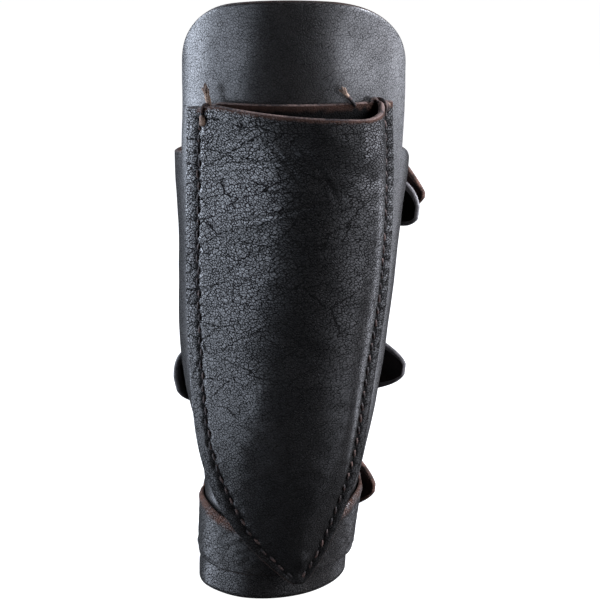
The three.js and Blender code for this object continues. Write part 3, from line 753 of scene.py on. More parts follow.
def sheath_grid(rows, margin, middle):
    """Heights and places across of the sheath, with columns gathered in the sewn margins."""
    wall, least_half = 0.6, 0.5
    parts = stretches((-2, -1, margin), (-1, wall, middle), (wall, 1, 1 + middle // 2), (1, 2, margin))
    z, part = np.meshgrid(rows, parts, indexing="ij")
    left, right = column(SHEATH_OUTLINE, z, 1), column(SHEATH_OUTLINE, z, 2)
    low = np.minimum(left + MARGIN_LEFT, (left + right) / 2 - least_half)
    high = np.maximum(right - MARGIN_RIGHT, (left + right) / 2 + least_half)
    on_right = np.where(part > 1, mix(high, right, part - 1), mix(low, high, (part + 1) / 2))
    return z, np.where(part < -1, mix(left, low, part + 2), on_right), left, right


def pocket_shape(across, left, right, ridge, inset, shoulder):
    """0 on the sewn margins, 1 on the ridge of the raised pocket, which is rounder where shoulder is 1."""
    low, high = left + MARGIN_LEFT, right - MARGIN_RIGHT - inset
    wide = np.maximum(high - low, 0.001)
    place = clamp01((across - low) / wide) * 2 - 1
    t, u = (place + 1) / (ridge + 1), clamp01((place - ridge) / (1 - ridge))
    levelled = np.maximum(t - SHOULDER_FROM, 0) ** 2 / (1 - SHOULDER_FROM)
    rounded = (2 * t - levelled) / (1 + SHOULDER_FROM)
    slope = mix(t * (1 + POCKET_BEND - POCKET_BEND * t), rounded, shoulder)
    rise = np.where(place < ridge, slope, 1 - u ** mix(POCKET_WALL, SHOULDER_WALL, shoulder))
    return rise * clamp01((wide - POCKET_NARROW) / POCKET_OPENS)


def worn_ridge(row):
    """Place and raise of the worn pocket's ridge, and how far its shoulder is worn round."""
    swell = RIDGE_SWELL * smooth(*SWELL_HEIGHTS, row) * (1 - smooth(*SWELL_LIP, row))
    shoulder = smooth(*SHOULDER_HEIGHTS, row) * mix(1.0, SHOULDER_AT_LIP, smooth(*SHOULDER_LIP, row))
    shift = mix(SHIFT_LOW, SHIFT_HIGH, smooth(*SHIFT_HEIGHTS, row))
    return column(POCKET, row, 2) + shift * shoulder, column(POCKET, row, 1) * (1 + swell), shoulder


def slope_hollow(row, across, left, right, ridge):
    """How far the worn long slope of the pocket sags, as a share of the pocket's rise."""
    low, high = left + MARGIN_LEFT, right - MARGIN_RIGHT
    place = clamp01((across - low) / np.maximum(high - low, 1)) * 2 - 1
    t = clamp01((place + 1) / (ridge + 1))
    # This is 1 at its deepest, a third of the way up the slope
    hollow = 27 / 4 * t * (1 - t) ** 2
    fade = smooth(*HOLLOW_HEIGHTS, row) * mix(1.0, HOLLOW_AT_LIP, smooth(*HOLLOW_LIP, row))
    return SLOPE_HOLLOW * hollow * fade


def mouth_drop(row, across, dip):
    """How far the mouth's edge lies below the top: its left corner, and the dip of the front layer."""
    corner = MOUTH_CORNER * clamp01((MOUTH_CORNER_FROM - across) / MOUTH_CORNER_WIDE)
    return (corner + dip) * clamp01((row - MOUTH_DIP_FROM) / (MOUTH_HEIGHT - MOUTH_DIP_FROM))


def seam_line(sign, inset):
    """The sewn line inside one edge of the sheath, from the mouth down to the tip."""
    z = np.linspace(MOUTH_HEIGHT, TIP_HEIGHT, SEAM_POINTS)
    edge = column(SHEATH_OUTLINE, z, 1 if sign < 0 else 2)
    slope = np.gradient(edge, z)
    phase = z * math.tau / WAVER_LENGTH + WAVER_CHANGE * np.sin(z / WAVER_CHANGE_LENGTH)
    waver = WAVER * np.sin(phase) if sign < 0 else 0.0
    inward = (mix(SEAM_INSET_TIP, inset, smooth(*SEAM_TIP_HEIGHTS, z)) + waver) / np.hypot(1, slope)
    line = np.stack([edge - sign * inward, z + sign * inward * slope], -1)
    return line[(line[:, 1] > SEAM_LOWEST) & (line[:, 1] < SEAM_HIGHEST)]


def run_along(line):
    """Length of a line up to each of its points."""
    return np.concatenate([[0], np.cumsum(np.linalg.norm(np.diff(line, axis=0), axis=1))])


def seam_relief(across, z, line, pitch, depth):
    """The groove that the thread pulls into the leather, deepest at each stitch, and the distance from it."""
    run = run_along(line)
    spacing = run[-1] / max(1, int(run[-1] / pitch))
    relief, near = np.zeros(z.shape), np.zeros(z.shape)
    for i in range(len(z)):
        gap = np.hypot(across[i][:, None] - line[:, 0], z[i][:, None] - line[:, 1])
        phase = run[gap.argmin(1)] / spacing * math.tau
        near[i] = gap.min(1)
        pull = 1 - STITCH_PULL + STITCH_PULL * np.cos(phase)
        swell = PUCKER * depth * np.exp(-((near[i] - PUCKER_OFF) / PUCKER_HALF) ** 2) * (1 - pull)
        relief[i] = swell - depth * pull * np.exp(-(near[i] / GROOVE_HALF) ** 2)
    return relief, near


def crease_relief(across, z):
    """The long creases, each a groove between two low lips."""
    total = np.zeros(z.shape)
    for x0, z0, x1, z1, sag, depth, half in CREASES:
        run = math.hypot(x1 - x0, z1 - z0)
        ux, uz = (x1 - x0) / run, (z1 - z0) / run
        along = ((across - x0) * ux + (z - z0) * uz) / run
        off = (z - z0) * ux - (across - x0) * uz - sag * 4 * along * (1 - along)
        ends = smooth(0, CREASE_ENDS, along) * (1 - smooth(1 - CREASE_ENDS, 1, along))
        lip = np.exp(-((np.abs(off) - CREASE_LIP_OFF * half) / (CREASE_LIP_WIDE * half)) ** 2)
        total += ends * depth * (CREASE_LIP * lip - np.exp(-(off / (CREASE_WIDE * half)) ** 2))
    return total


def front_wear(row, across, left, seam):
    """Fields of the sheath front: cracked grain, bare lip, places darkened with painted shade and made
    duller, steep cracks.
    """
    crackle = mix(CRACKS_LOW, 1.0, smooth(*CRACK_HEIGHTS, row))
    crackle = crackle * mix(1.0, CRACKS_RIGHT, smooth(*CRACK_ACROSS, across))
    lip = MOUTH_HEIGHT - row + uneven(across, row, LIP_WEAR)
    worn = mix(WORN_LIP, WORN_LIP_RIGHT, smooth(*WORN_LIP_ACROSS, across))
    past_seam = smooth(SEAM_INSET_LEFT - 2, SEAM_INSET_LEFT, across - left)
    bare = BARE_LIP * smooth(worn, 0.3 * worn, lip) * past_seam
    # The tip and the right of the lip are made duller and darkened with painted shade
    tip_dull_shade = DULL_SHADE * smooth(*TIP_DULL_SHADE_HEIGHTS, row)
    lip_dull_shade = DULL_SHADE * smooth(*LIP_DULL_SHADE_ACROSS, across) * smooth(*LIP_DULL_SHADE_HEIGHTS, row)
    dark = np.maximum(seam, np.maximum(tip_dull_shade, lip_dull_shade))
    steep = smooth(*STEEP_LEFT, across) * (1 - smooth(*STEEP_RIGHT, across)) * smooth(*STEEP_HEIGHTS, row)
    return {"crackle": crackle, "rawness": bare, "seam": dark, "steep": steep}


def strap_reach(strap):
    return float(column(ARM_SECTIONS, strap.right, 2)) + strap.below


def along_arm(strap, distance, lift, out):
    """A place by distance from the heel bar: positive towards the tail, negative towards the strap."""
    angle = HEEL_ANGLE - np.degrees(distance / strap_reach(strap))
    return on_arm(angle, strap.right + lift, strap.below + out)


def strap_point(strap, length, lane, distance, out):
    """A place on a strap by lane and distance from the heel bar; past the bar its tail is straight."""
    from_end = distance + length
    rounding = np.where(lane < 0, END_ROUND_BELOW, END_ROUND)
    rounded = np.sqrt(1 - (1 - clamp01((from_end + END_BLUNT) / rounding)) ** 2)
    pointed = clamp01((strap.tail - distance + TIP_BLUNT) / strap.point) ** strap.blunt
    lift = lane * np.minimum(rounded, pointed)
    lean = mix(strap.left - strap.right, 0, clamp01(from_end / (length * LEAN_SHARE)))
    climb = mix(STRAP_GAP, STRAP_OVER_HEEL, clamp01((distance - CLIMB_FROM) / CLIMB_LENGTH))
    rise = climb + strap.peel * clamp01(1 - from_end / PEEL_LENGTH) ** 2 + out
    lying = along_arm(strap, np.minimum(distance, 0), lean + lift, rise)
    heading = unit(along_arm(strap, 0.5, lift, rise) - along_arm(strap, -0.5, lift, rise))
    return lying + heading * np.maximum(distance, 0)[..., None]


def chape_point(strap, lane, distance, out):
    """A place on a chape by lane and distance from the heel bar."""
    end, round_end, lift, droop = CHAPES[strap.name]
    over = smooth(BUMP_REACH, BUMP_FULL, np.abs(distance))
    rounding = round_end * np.where(lane < 0, CHAPE_ROUND_BELOW, 1.0)
    taper = np.sqrt(1 - (1 - clamp01((end - distance + TIP_BLUNT) / rounding)) ** 2)
    free = clamp01((distance - CHAPE_SEAT) / (end - CHAPE_SEAT))
    rise = STRAP_GAP + CHAPE_BUMP * over + lift * free ** 1.5
    return along_arm(strap, distance, lane * taper + droop * free ** 0.6, rise + out)


def thread_tube(points, width):
    """A soft thread through a few places, thinned towards its loose end."""
    points = np.asarray(points, float)
    run = run_along(points)
    at = np.linspace(0, run[-1], max(8, int(run[-1] / THREAD_STEP)))
    table = np.column_stack([run, points])
    path = np.stack([column(table, at, k) for k in (1, 2, 3)], -1)
    thin = mix(1.0, THREAD_END_SHARE, smooth(*THREAD_END, at / run[-1]))
    return round_bar(path, THREAD_UPRIGHT, width / 2 * thin, False, THREAD_SIDES)


# What repeats: the stitches, laid along a sewn line by Geometry Nodes


def stitch_tree():
    """An arched strand of thread at every pitch of a line, each swayed a little."""
    if "Stitch row" in bpy.data.node_groups:
        return bpy.data.node_groups["Stitch row"]
    sizes = {label: "Float" for label in ("Pitch", "Length", "Width", "Arch", "Sway", "Lean")}
    inputs = {"Geometry": "Geometry", **sizes, "Seed": "Int", "Thread": "Material"}
    tree, given, result = new_tree("Stitch row", "GeometryNodeTree", inputs, {"Geometry": "Geometry"})

    def made(kind, feeds=None, output=0, **settings):
        return add_node(tree, kind, feeds, **settings).outputs[output]

    line = made("GeometryNodeMeshToCurve", {0: given["Geometry"]})
    spaced = made("GeometryNodeResampleCurve", {"Curve": line, "Length": given["Pitch"]}, mode="LENGTH")

    half = math_node(tree, "MULTIPLY", given["Length"], 0.5)
    under = math_node(tree, "MULTIPLY", given["Width"], -STITCH_SINK)
    start = made("ShaderNodeCombineXYZ", {"X": math_node(tree, "MULTIPLY", half, -1.0), "Z": under})
    middle = made("ShaderNodeCombineXYZ", {"Z": given["Arch"]})
    end = made("ShaderNodeCombineXYZ", {"X": half, "Z": under})
    feeds = {"Resolution": STITCH_STEPS, "Start": start, "Middle": middle, "End": end}
    arch = made("GeometryNodeCurveQuadraticBezier", feeds)
    radius = math_node(tree, "MULTIPLY", given["Width"], 0.5)
    ring = made("GeometryNodeCurvePrimitiveCircle", {"Resolution": STITCH_STEPS, "Radius": radius})
    strand = made("GeometryNodeCurveToMesh", {"Curve": arch, "Profile Curve": ring, "Fill Caps": True})

    outward = made("GeometryNodeInputNamedAttribute", {"Name": "out"}, "Attribute", data_type="FLOAT_VECTOR")
    feeds = {0: made("GeometryNodeInputTangent"), 1: outward}
    aim = made("FunctionNodeAxesToRotation", feeds, primary_axis="X", secondary_axis="Z")
    back = math_node(tree, "MULTIPLY", given["Sway"], -1.0)
    feeds = {2: back, 3: given["Sway"], "Seed": given["Seed"]}
    sway = made("FunctionNodeRandomValue", feeds, 1, data_type="FLOAT")
    feeds = {"Axis": (0.0, 0.0, 1.0), "Angle": math_node(tree, "ADD", sway, given["Lean"])}
    lean = made("FunctionNodeAxisAngleToRotation", feeds)
    turned = made("FunctionNodeRotateRotation", {0: aim, 1: lean}, rotation_space="LOCAL")

    laid = made("GeometryNodeInstanceOnPoints", {"Points": spaced, "Instance": strand, "Rotation": turned})
    whole = made("GeometryNodeRealizeInstances", {0: laid})
    soft = made("GeometryNodeSetShadeSmooth", {"Geometry": whole})
    dressed = made("GeometryNodeSetMaterial", {"Geometry": soft, "Material": given["Thread"]})
    tree.links.new(dressed, result.inputs[0])
    return tree


def stitch_row(name, points, outward, sizes):
    """One row of stitches along a line of places, each with its own outward direction."""
    mesh = bpy.data.meshes.new(name)
    edges = [(i, i + 1) for i in range(len(points) - 1)]
    mesh.from_pydata((np.asarray(points) * MM).tolist(), edges, [])
    field = mesh.attributes.new("out", "FLOAT_VECTOR", "POINT")
    field.data.foreach_set("vector", np.asarray(outward, np.float32).reshape(-1))
    piece = link(name, mesh)
    tree = stitch_tree()
    maker = piece.modifiers.new("Stitches", "NODES")
    maker.node_group = tree
    for item in tree.interface.items_tree:
        if item.in_out == "INPUT" and item.name in sizes:
            maker[item.identifier] = sizes[item.name]
    shown = piece.evaluated_get(bpy.context.evaluated_depsgraph_get())
    plain = bpy.data.meshes.new_from_object(shown)
    piece.modifiers.clear()
    piece.data = plain
    if len(plain.polygons) == 0:
        raise RuntimeError("no stitches were laid on " + name)
    return piece


# Sizes and colours that a user would change


def size_setting(label, text, value):
    return bpy.props.FloatProperty(
        name=label, description=text, default=value, min=0.0002, max=0.02, precision=4,
        subtype="DISTANCE", unit="LENGTH",
    )


def tone_setting(label, text, value):
    return bpy.props.FloatVectorProperty(
        name=label, description=text, default=(*value, 1.0), size=4, min=0.0, max=1.0, subtype="COLOR",
    )


class BracerSizes(bpy.types.PropertyGroup):
    """Thicknesses of the leather and the sizes of the stitches."""

    shell: size_setting("Shell", "Thickness of the forearm shell", 0.003)
    band: size_setting("Wrist band", "Thickness of the wrist band", 0.0025)
    sheath: size_setting("Sheath", "Thickness of each sheath layer", 0.0024)
    strap: size_setting("Strap", "Thickness of the straps", 0.0024)
    chape: size_setting("Chape", "Thickness of the strips that hold the buckles", 0.002)
    pitch: size_setting("Stitch pitch", "Distance from one stitch to the next", 0.0054)
    stitch: size_setting("Stitch length", "Length of thread that shows in one stitch", 0.0041)
    thread: size_setting("Thread", "Width of the sewing thread", 0.0014)
    groove: size_setting("Groove", "Depth of the groove that the thread pulls", 0.0009)


class BracerFinish(bpy.types.PropertyGroup):
    """Colours of the leather, thread and steel."""

    leather: tone_setting("Leather", "Dyed grain side of the leather", (0.015, 0.0132, 0.0118))
    raw_edge: tone_setting("Raw edge", "Cut edges that were left undyed", (0.17, 0.09, 0.066))
    thread: tone_setting("Thread", "Waxed sewing thread", (0.11, 0.06, 0.046))
    fray: tone_setting("Frayed thread", "Loose ends of the sewing thread", (0.36, 0.25, 0.18))
    steel: tone_setting("Steel", "Dull steel of the buckles", (0.42, 0.41, 0.4))
    gloss: bpy.props.FloatProperty(
        name="Roughness", description="Roughness of the waxed grain side", default=0.36, min=0.1, max=0.9,
        subtype="FACTOR",
    )


def in_mm(metres):
    return metres / MM


# One operator for each piece or group of like pieces


class BRACER_OT_shell(bpy.types.Operator):
    """Make the forearm shell with its tongue and wings"""

    bl_idname = "bracer.shell"
    bl_label = "Forearm shell"

    def execute(self, context):
        thick = in_mm(context.scene.bracer_sizes.shell)
        rows = stretches((0, 1, 116), (1, 2, 41))
        row, angle = np.meshgrid(rows, shell_angles(), indexing="ij")
        wing, edge = column(WING_TOPS, angle, 1), thick / 4
        z = np.where(row <= 1, mix(edge, wing, row), mix(wing, tongue_top(angle) - edge, row - 1))
        roll = HEM_ROLL * smooth(*HEM_ROLL_ANGLES, angle) * smooth(*HEM_ROLL_HEIGHTS, z)
        outer, inner = on_arm(angle, z, roll), on_arm(angle, z, roll - thick)
        tongue = (angle[:-1, :-1] > -TONGUE_ANGLE - NEAR) & (angle[:-1, 1:] < TONGUE_ANGLE + NEAR)
        keep = (row[:-1, :-1] < 1) | tongue
        crackle = mix(SHELL_CRACKS, 1.0, smooth(*SHELL_CRACK_ANGLES, np.abs(angle)))
        fields = {"crackle": np.maximum(crackle, smooth(*HEM_CRACK_HEIGHTS, z))}
        pattern, looks = arm_pattern(angle, z), leather_looks("shell_grain")
        piece = leather_sheet("forearm_shell_leather", outer, inner, pattern, looks, fields, keep)
        settle(piece, "shell_leather", "forearm_shell")
        return {"FINISHED"}


class BRACER_OT_wrist_band(bpy.types.Operator):
    """Make the wrist band with its skived brown upper edge"""

    bl_idname = "bracer.wrist_band"
    bl_label = "Wrist band"

    def execute(self, context):
        thick = in_mm(context.scene.bracer_sizes.band)
        angles = np.linspace(-BAND_ANGLE, BAND_ANGLE, 241)
        row, angle = np.meshgrid(np.linspace(0, 1, 32), angles, indexing="ij")
        top = column(BAND_TOPS, angle, 1)
        z = mix(BAND_FOOT, top, row)
        gap = LAYER_GAP + BAND_FLARE * row * row
        left_foot = smooth(*SKIVE_FOOT, z - BAND_FOOT) * smooth(*SKIVE_ANGLES, angle)
        skive = smooth(*SKIVE_TOP, top - z) + left_foot
        around = np.radians(angle) * BAND_RADIUS
        bumps = uneven(around * 0.7, z, BAND_BUMPS)
        outer = on_arm(angle, z, gap + thick - BAND_SKIVE * skive + bumps)
        inner = on_arm(angle, z, gap)
        rubbed = smooth(*BAND_RUBBED, top - z + uneven(around, z, BAND_WEAR))
        rubbed = rubbed * mix(1.0, RUBBED_RIGHT, smooth(*RUBBED_ANGLES, angle))
        rubbed = rubbed * (0.8 + uneven(around, z, BAND_PATCHES))
        fields = {"crackle": BAND_CRACKS, "rawness": rubbed}
        pattern, looks = arm_pattern(angle, z), leather_looks("band_grain", raw="band_grain")
        piece = leather_sheet("wrist_band_leather", outer, inner, pattern, looks, fields, raw=row >= 1)
        settle(piece, "band_leather", "wrist_band")
        return {"FINISHED"}


class BRACER_OT_sheath_back(bpy.types.Operator):
    """Make the back layer of the sheath"""

    bl_idname = "bracer.sheath_back"
    bl_label = "Sheath back"

    def execute(self, context):
        thick = in_mm(context.scene.bracer_sizes.sheath)
        fine_from = 220
        rows = stretches((TIP_HEIGHT, fine_from, 140), (fine_from, MOUTH_HEIGHT, 13))
        row, across, left, _ = sheath_grid(rows, 9, 40)
        z = row - mouth_drop(row, across, 0.0)
        outer, inner = plate_point(across, z, thick), plate_point(across, z, 0.0)
        lip = MOUTH_HEIGHT - row + uneven(across, row, BACK_LIP_WEAR)
        bare = BACK_BARE_LIP * smooth(*BACK_WORN_LIP, lip)
        # The back layer lies inside the pocket and is darkened all over with painted shade
        fields = {"crackle": 0.0, "rawness": bare, "seam": BACK_POCKET_SHADE}
        raw = (row > MOUTH_HEIGHT - 1.0) & (across > left + SEAM_INSET_LEFT - 1)
        pattern, looks = cut_pattern(across, row), leather_looks("sheath_grain", raw="lip_edge")
        piece = leather_sheet("sheath_back_leather", outer, inner, pattern, looks, fields, raw=raw)
        settle(piece, "sheath_leather", "sheath_back")
        return {"FINISHED"}


class BRACER_OT_sheath_front(bpy.types.Operator):
    """Make the raised front layer of the sheath, creased and pulled in along its seams"""

    bl_idname = "bracer.sheath_front"
    bl_label = "Sheath front"

    def execute(self, context):
        sizes = context.scene.bracer_sizes
        thick, pitch, groove = in_mm(sizes.sheath), in_mm(sizes.pitch), in_mm(sizes.groove)
        fine_from, sewn_flat = 145, (0.02, 0.35)
        rows = stretches((TIP_HEIGHT, fine_from, 141), (fine_from, MOUTH_HEIGHT, 120))
        row, across, left, right = sheath_grid(rows, 15, 84)
        ridge, raise_by, shoulder = worn_ridge(row)
        shape, inside = (
            pocket_shape(across, left, right, ridge, inset, shoulder) for inset in (0.0, POCKET_WALL_INSET)
        )
        z, z_inside = (row - mouth_drop(row, across, MOUTH_DIP * part) for part in (shape, inside))
        relief, seam = np.zeros(z.shape), np.zeros(z.shape)
        for _, sign, inset, _, _ in SEAMS:
            pulled, near = seam_relief(across, row, seam_line(sign, inset), pitch, groove)
            relief += pulled
            # Painted shade darkens the leather along each stitch groove
            seam = np.maximum(seam, GROOVE_SHADE * np.exp(-near ** 2))
        slow = uneven(across, row, SHEATH_WAVES)
        relief += crease_relief(across, row) + slow * mix(0.25, 1.0, smooth(*sewn_flat, shape))
        base = thick + LAYER_GAP - raise_by * slope_hollow(row, across, left, right, ridge)
        outer = plate_point(across, z, base + raise_by * shape + thick + relief)
        inner_relief = 0.4 * slow * smooth(*sewn_flat, inside)
        inner = plate_point(across, z_inside, base + raise_by * inside + inner_relief)
        fields = front_wear(row, across, left, seam)
        raw = (row > MOUTH_HEIGHT - 0.5) & (across > left + SEAM_INSET_LEFT - 1)
        pattern, looks = cut_pattern(across, row), leather_looks("sheath_grain", raw="lip_edge")
        piece = leather_sheet("sheath_front_leather", outer, inner, pattern, looks, fields, raw=raw)
        settle(piece, "sheath_leather", "sheath_front")
        return {"FINISHED"}


class BRACER_OT_straps(bpy.types.Operator):
    """Make the three straps with their pointed tails, two of them raw-edged"""

    bl_idname = "bracer.straps"
    bl_label = "Straps"

    def execute(self, context):
        thick = in_mm(context.scene.bracer_sizes.strap)
        half = STRAP_WIDTH / 2
        side = np.linspace(HOLE_HALF, half, 10)
        lanes = np.concatenate([-side[::-1], [-HOLE_INNER, HOLE_INNER], side])
        for strap in STRAPS:
            length = math.radians(360 + strap.end_angle - HEEL_ANGLE) * strap_reach(strap)
            tail = strap.tail * (1 - np.linspace(0, 1, 34)[:-1] ** 1.5)
            steps = 1 + int((length - half - HOLE_TO) / 1.5)
            body = stretches((0, -HOLE_FROM, 5), (-HOLE_FROM, -HOLE_TO, 9), (-HOLE_TO, half - length, steps))
            end = half * (1 - np.sin(np.linspace(0, math.pi / 2, 16))) - length
            lane, along = np.meshgrid(lanes, np.concatenate([tail, body[:-1], end]), indexing="ij")
            outer = strap_point(strap, length, lane, along, thick)
            inner = strap_point(strap, length, lane, along, 0.0)
            hole = (along[:-1, :-1] < -HOLE_FROM + NEAR) & (along[:-1, 1:] > -HOLE_TO - NEAR)
            hole = hole & (lane[:-1, :-1] > -HOLE_HALF - NEAR) & (lane[1:, :-1] < HOLE_HALF + NEAR)
            grey = strap.name == "middle"
            raw = (along > RAW_TAIL_FROM) & (not grey)
            trim = (np.abs(lane) > side[-3] - NEAR) | (along < END_TRIM - length)
            edges = {"rim": "worn_edge"} if grey else {"flesh": "strap_flesh"}
            piece = leather_sheet(
                f"strap_{strap.name}_leather", outer, inner, cut_pattern(-along, strap.right + lane),
                leather_looks("strap_grain", **edges), {"crackle": STRAP_CRACKS}, ~hole, raw, trim,
            )
            settle(piece, "strap_leather", f"strap_{strap.name}")
        return {"FINISHED"}


class BRACER_OT_chapes(bpy.types.Operator):
    """Make the strips that hold the buckles to the shell"""

    bl_idname = "bracer.chapes"
    bl_label = "Chapes"

    def execute(self, context):
        thick = in_mm(context.scene.bracer_sizes.chape)
        side = np.linspace(SLOT_HALF, CHAPE_HALF, 9)
        lanes = np.concatenate([-side[::-1], [0.0], side])
        bump = stretches((BUMP_REACH, SLOT_FROM, 10), (SLOT_FROM, -BUMP_REACH, 14))[1:]
        back = -BUMP_REACH - np.arange(1, 4)
        for strap in STRAPS:
            end = CHAPES[strap.name][0]
            free = end - (end - BUMP_REACH) * np.linspace(0, 1, int(end * 1.2)) ** 1.3
            lane, along = np.meshgrid(lanes, np.concatenate([free, bump, back]), indexing="ij")
            outer, inner = chape_point(strap, lane, along, thick), chape_point(strap, lane, along, 0.0)
            slot = (along[:-1, :-1] < SLOT_FROM + NEAR) & (along[:-1, 1:] > -BUMP_REACH - NEAR)
            slot = slot & (lane[:-1, :-1] > -SLOT_HALF - NEAR) & (lane[1:, :-1] < SLOT_HALF + NEAR)
            trim = np.abs(lane) > side[-3] - NEAR
            edge = "burnished_edge" if strap.name == "upper" else "dyed_edge"
            piece = leather_sheet(
                f"chape_{strap.name}_leather", outer, inner, cut_pattern(-along, strap.right + lane, 0.2),
                leather_looks("strap_grain", rim=edge), {"crackle": CHAPE_CRACKS}, ~slot, trim=trim,
            )
            settle(piece, "strap_leather", f"chape_{strap.name}")
        return {"FINISHED"}


class BRACER_OT_buckles(bpy.types.Operator):
    """Make the three steel buckles with their prongs"""

    bl_idname = "bracer.buckles"
    bl_label = "Buckles"

    def execute(self, context):
        far, near, top = -BUCKLE_CORNER, -NEAR_BAR + BUCKLE_CORNER, BUCKLE_HALF - BUCKLE_CORNER
        along, lift = [], []
        for start, x, y in ((0, far, top), (90, near, top), (180, near, -top), (270, far, -top)):
            turn = np.radians(np.linspace(start, start + 90, 9))
            along.extend(x + BUCKLE_CORNER * np.cos(turn))
            lift.extend(y + BUCKLE_CORNER * np.sin(turn))
        along, lift = np.array(along), np.array(lift)
        rise = mix(HEEL_RISE, NEAR_RISE, clamp01(-along / NEAR_BAR))
        reach = np.linspace(PRONG_PATH[0][0], PRONG_PATH[-1][0], 26)
        width = PRONG_RADIUS * mix(1.0, PRONG_TIP_SHARE, smooth(*PRONG_TIP, reach))
        for strap in STRAPS:
            out = along_arm(strap, BUCKLE_MIDDLE, 0.0, 1.0) - along_arm(strap, BUCKLE_MIDDLE, 0.0, 0.0)
            ring = round_bar(along_arm(strap, along, lift, rise), out, BAR_RADIUS, True)
            path = along_arm(strap, -reach, 0.0, column(PRONG_PATH, reach, 1))
            prong = round_bar(path, out, width, False)
            piece = joined_mesh(f"buckle_{strap.name}_steel", [ring, prong], finish("dull_steel"))
            settle(piece, "buckle_steel", f"buckle_{strap.name}")
        return {"FINISHED"}


class BRACER_OT_stitches(bpy.types.Operator):
    """Lay the two rows of stitches that close the sheath"""

    bl_idname = "bracer.stitches"
    bl_label = "Stitches"

    def execute(self, context):
        sizes = context.scene.bracer_sizes
        face = 2 * in_mm(sizes.sheath) + LAYER_GAP - 0.5 * in_mm(sizes.groove)
        for side, sign, inset, seed, lean in SEAMS:
            across, z = seam_line(sign, inset).T
            points = plate_point(across, z, face)
            outward = plate_point(across, z, face + 1) - points
            values = {
                "Pitch": sizes.pitch, "Length": sizes.stitch, "Width": sizes.thread, "Arch": STITCH_ARCH,
                "Sway": STITCH_SWAY, "Lean": lean, "Seed": seed, "Thread": finish("waxed_thread"),
            }
            piece = stitch_row(f"sheath_stitches_{side}", points, outward, values)
            settle(piece, "sheath_leather")
        return {"FINISHED"}


class BRACER_OT_thread_ends(bpy.types.Operator):
    """Leave the frayed thread ends and the wraps at the mouth of the sheath"""

    bl_idname = "bracer.thread_ends"
    bl_label = "Thread ends"

    def execute(self, context):
        width = in_mm(context.scene.bracer_sizes.thread)
        for name, routes, look in (("ends", FRAYS, "frayed_thread"), ("wraps", WRAPS, "waxed_thread")):
            strands = []
            for share, *route in routes:
                strands.append(thread_tube([plate_point(*place) for place in route], width * share))
            piece = joined_mesh(f"sheath_thread_{name}", strands, finish(look))
            settle(piece, "sheath_leather")
        return {"FINISHED"}


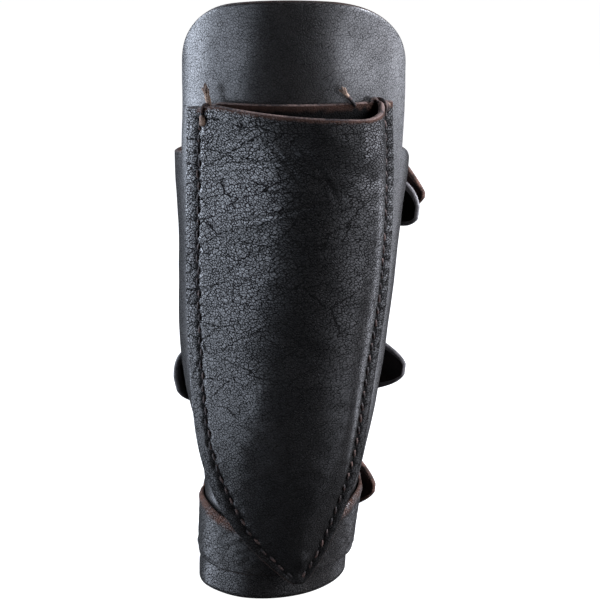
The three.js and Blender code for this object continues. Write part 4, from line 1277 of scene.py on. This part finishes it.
class BRACER_OT_stage(bpy.types.Operator):
    """Set the pale floor, the soft side lights, the dark room and the camera"""

    bl_idname = "bracer.stage"
    bl_label = "Stage"

    def execute(self, context):
        scene = context.scene
        scene.view_settings.view_transform = "Standard"
        self.lay_floor()
        for name, box in SOFTBOXES.items():
            self.hang_softbox(scene, name, *box)
        self.darken_room(scene)
        lens = bpy.data.cameras.new("view")
        lens.sensor_fit, lens.sensor_width, lens.lens = "HORIZONTAL", CAMERA_SENSOR, CAMERA_LENS
        camera = bpy.data.objects.new("view", lens)
        camera.location = CAMERA_PLACE
        camera.rotation_euler = (math.radians(90 - CAMERA_DOWN), 0.0, 0.0)
        scene.collection.objects.link(camera)
        scene.camera = camera
        return {"FINISHED"}

    def lay_floor(self):
        """White paper that the camera sees and the leather does not mirror."""
        mesh = bpy.data.meshes.new("floor")
        mesh.from_pydata(FLOOR, [], [(0, 1, 2, 3)])
        paper, tree, shader = start_material("floor_paper")
        feed(tree, shader, {
            "Base Color": FLOOR_TONE, "Roughness": 0.9,
            "Emission Color": PAPER_TONE, "Emission Strength": 1.0,
        })
        mesh.materials.append(paper)
        floor = link("floor", mesh)
        floor.visible_glossy = False
        floor.visible_diffuse = False
        floor.visible_shadow = False

    def hang_softbox(self, scene, name, azimuth, height, wide, tall, power):
        """One box of light at a metre from the bracer, facing it level."""
        lamp = bpy.data.lights.new(f"softbox_{name}", "AREA")
        lamp.shape, lamp.size, lamp.size_y = "RECTANGLE", wide, tall
        lamp.energy = power
        lamp.color = LEFT_LIGHT if azimuth < 0 else RIGHT_LIGHT
        holder = bpy.data.objects.new(f"softbox_{name}", lamp)
        x, y = math.sin(math.radians(azimuth)), -math.cos(math.radians(azimuth))
        holder.location = (x, y, height)
        holder.rotation_euler = Vector((-x, -y, 0)).to_track_quat("-Z", "Y").to_euler()
        scene.collection.objects.link(holder)

    def darken_room(self, scene):
        """The camera sees white paper behind the bracer, and the leather mirrors a dark room."""
        world = bpy.data.worlds.new("studio")
        world.use_nodes = True
        scene.world = world
        tree = world.node_tree
        room = tree.nodes["Background"]
        room.inputs["Color"].default_value = ROOM_TONE
        paper = add_node(tree, "ShaderNodeBackground", {"Color": PAPER_TONE})
        seen = add_node(tree, "ShaderNodeLightPath").outputs["Is Camera Ray"]
        either = add_node(tree, "ShaderNodeMixShader", {0: seen, 1: room.outputs[0], 2: paper.outputs[0]})
        tree.links.new(either.outputs[0], tree.nodes["World Output"].inputs["Surface"])


OPERATORS = (
    BRACER_OT_shell, BRACER_OT_wrist_band, BRACER_OT_sheath_back, BRACER_OT_sheath_front, BRACER_OT_straps,
    BRACER_OT_chapes, BRACER_OT_buckles, BRACER_OT_stitches, BRACER_OT_thread_ends, BRACER_OT_stage,
)


class BRACER_PT_panel(bpy.types.Panel):
    """Lists the pieces of the bracer with their sizes and colours"""

    bl_idname = "BRACER_PT_panel"
    bl_label = "Bracer"
    bl_space_type = "VIEW_3D"
    bl_region_type = "UI"
    bl_category = "Bracer"

    def draw(self, context):
        for group in (context.scene.bracer_sizes, context.scene.bracer_finish):
            box = self.layout.box()
            for name in group.__annotations__:
                box.prop(group, name)
        for operator in OPERATORS:
            self.layout.operator(operator.bl_idname)


CLASSES = (BracerSizes, BracerFinish, *OPERATORS, BRACER_PT_panel)


def register():
    for cls in CLASSES:
        bpy.utils.register_class(cls)
    bpy.types.Scene.bracer_sizes = bpy.props.PointerProperty(type=BracerSizes)
    bpy.types.Scene.bracer_finish = bpy.props.PointerProperty(type=BracerFinish)


def unregister():
    del bpy.types.Scene.bracer_finish
    del bpy.types.Scene.bracer_sizes
    for cls in reversed(CLASSES):
        bpy.utils.unregister_class(cls)


def main():
    register()
    for operator in OPERATORS:
        group, name = operator.bl_idname.split(".")
        getattr(getattr(bpy.ops, group), name)()


if __name__ == "__main__":
    main()
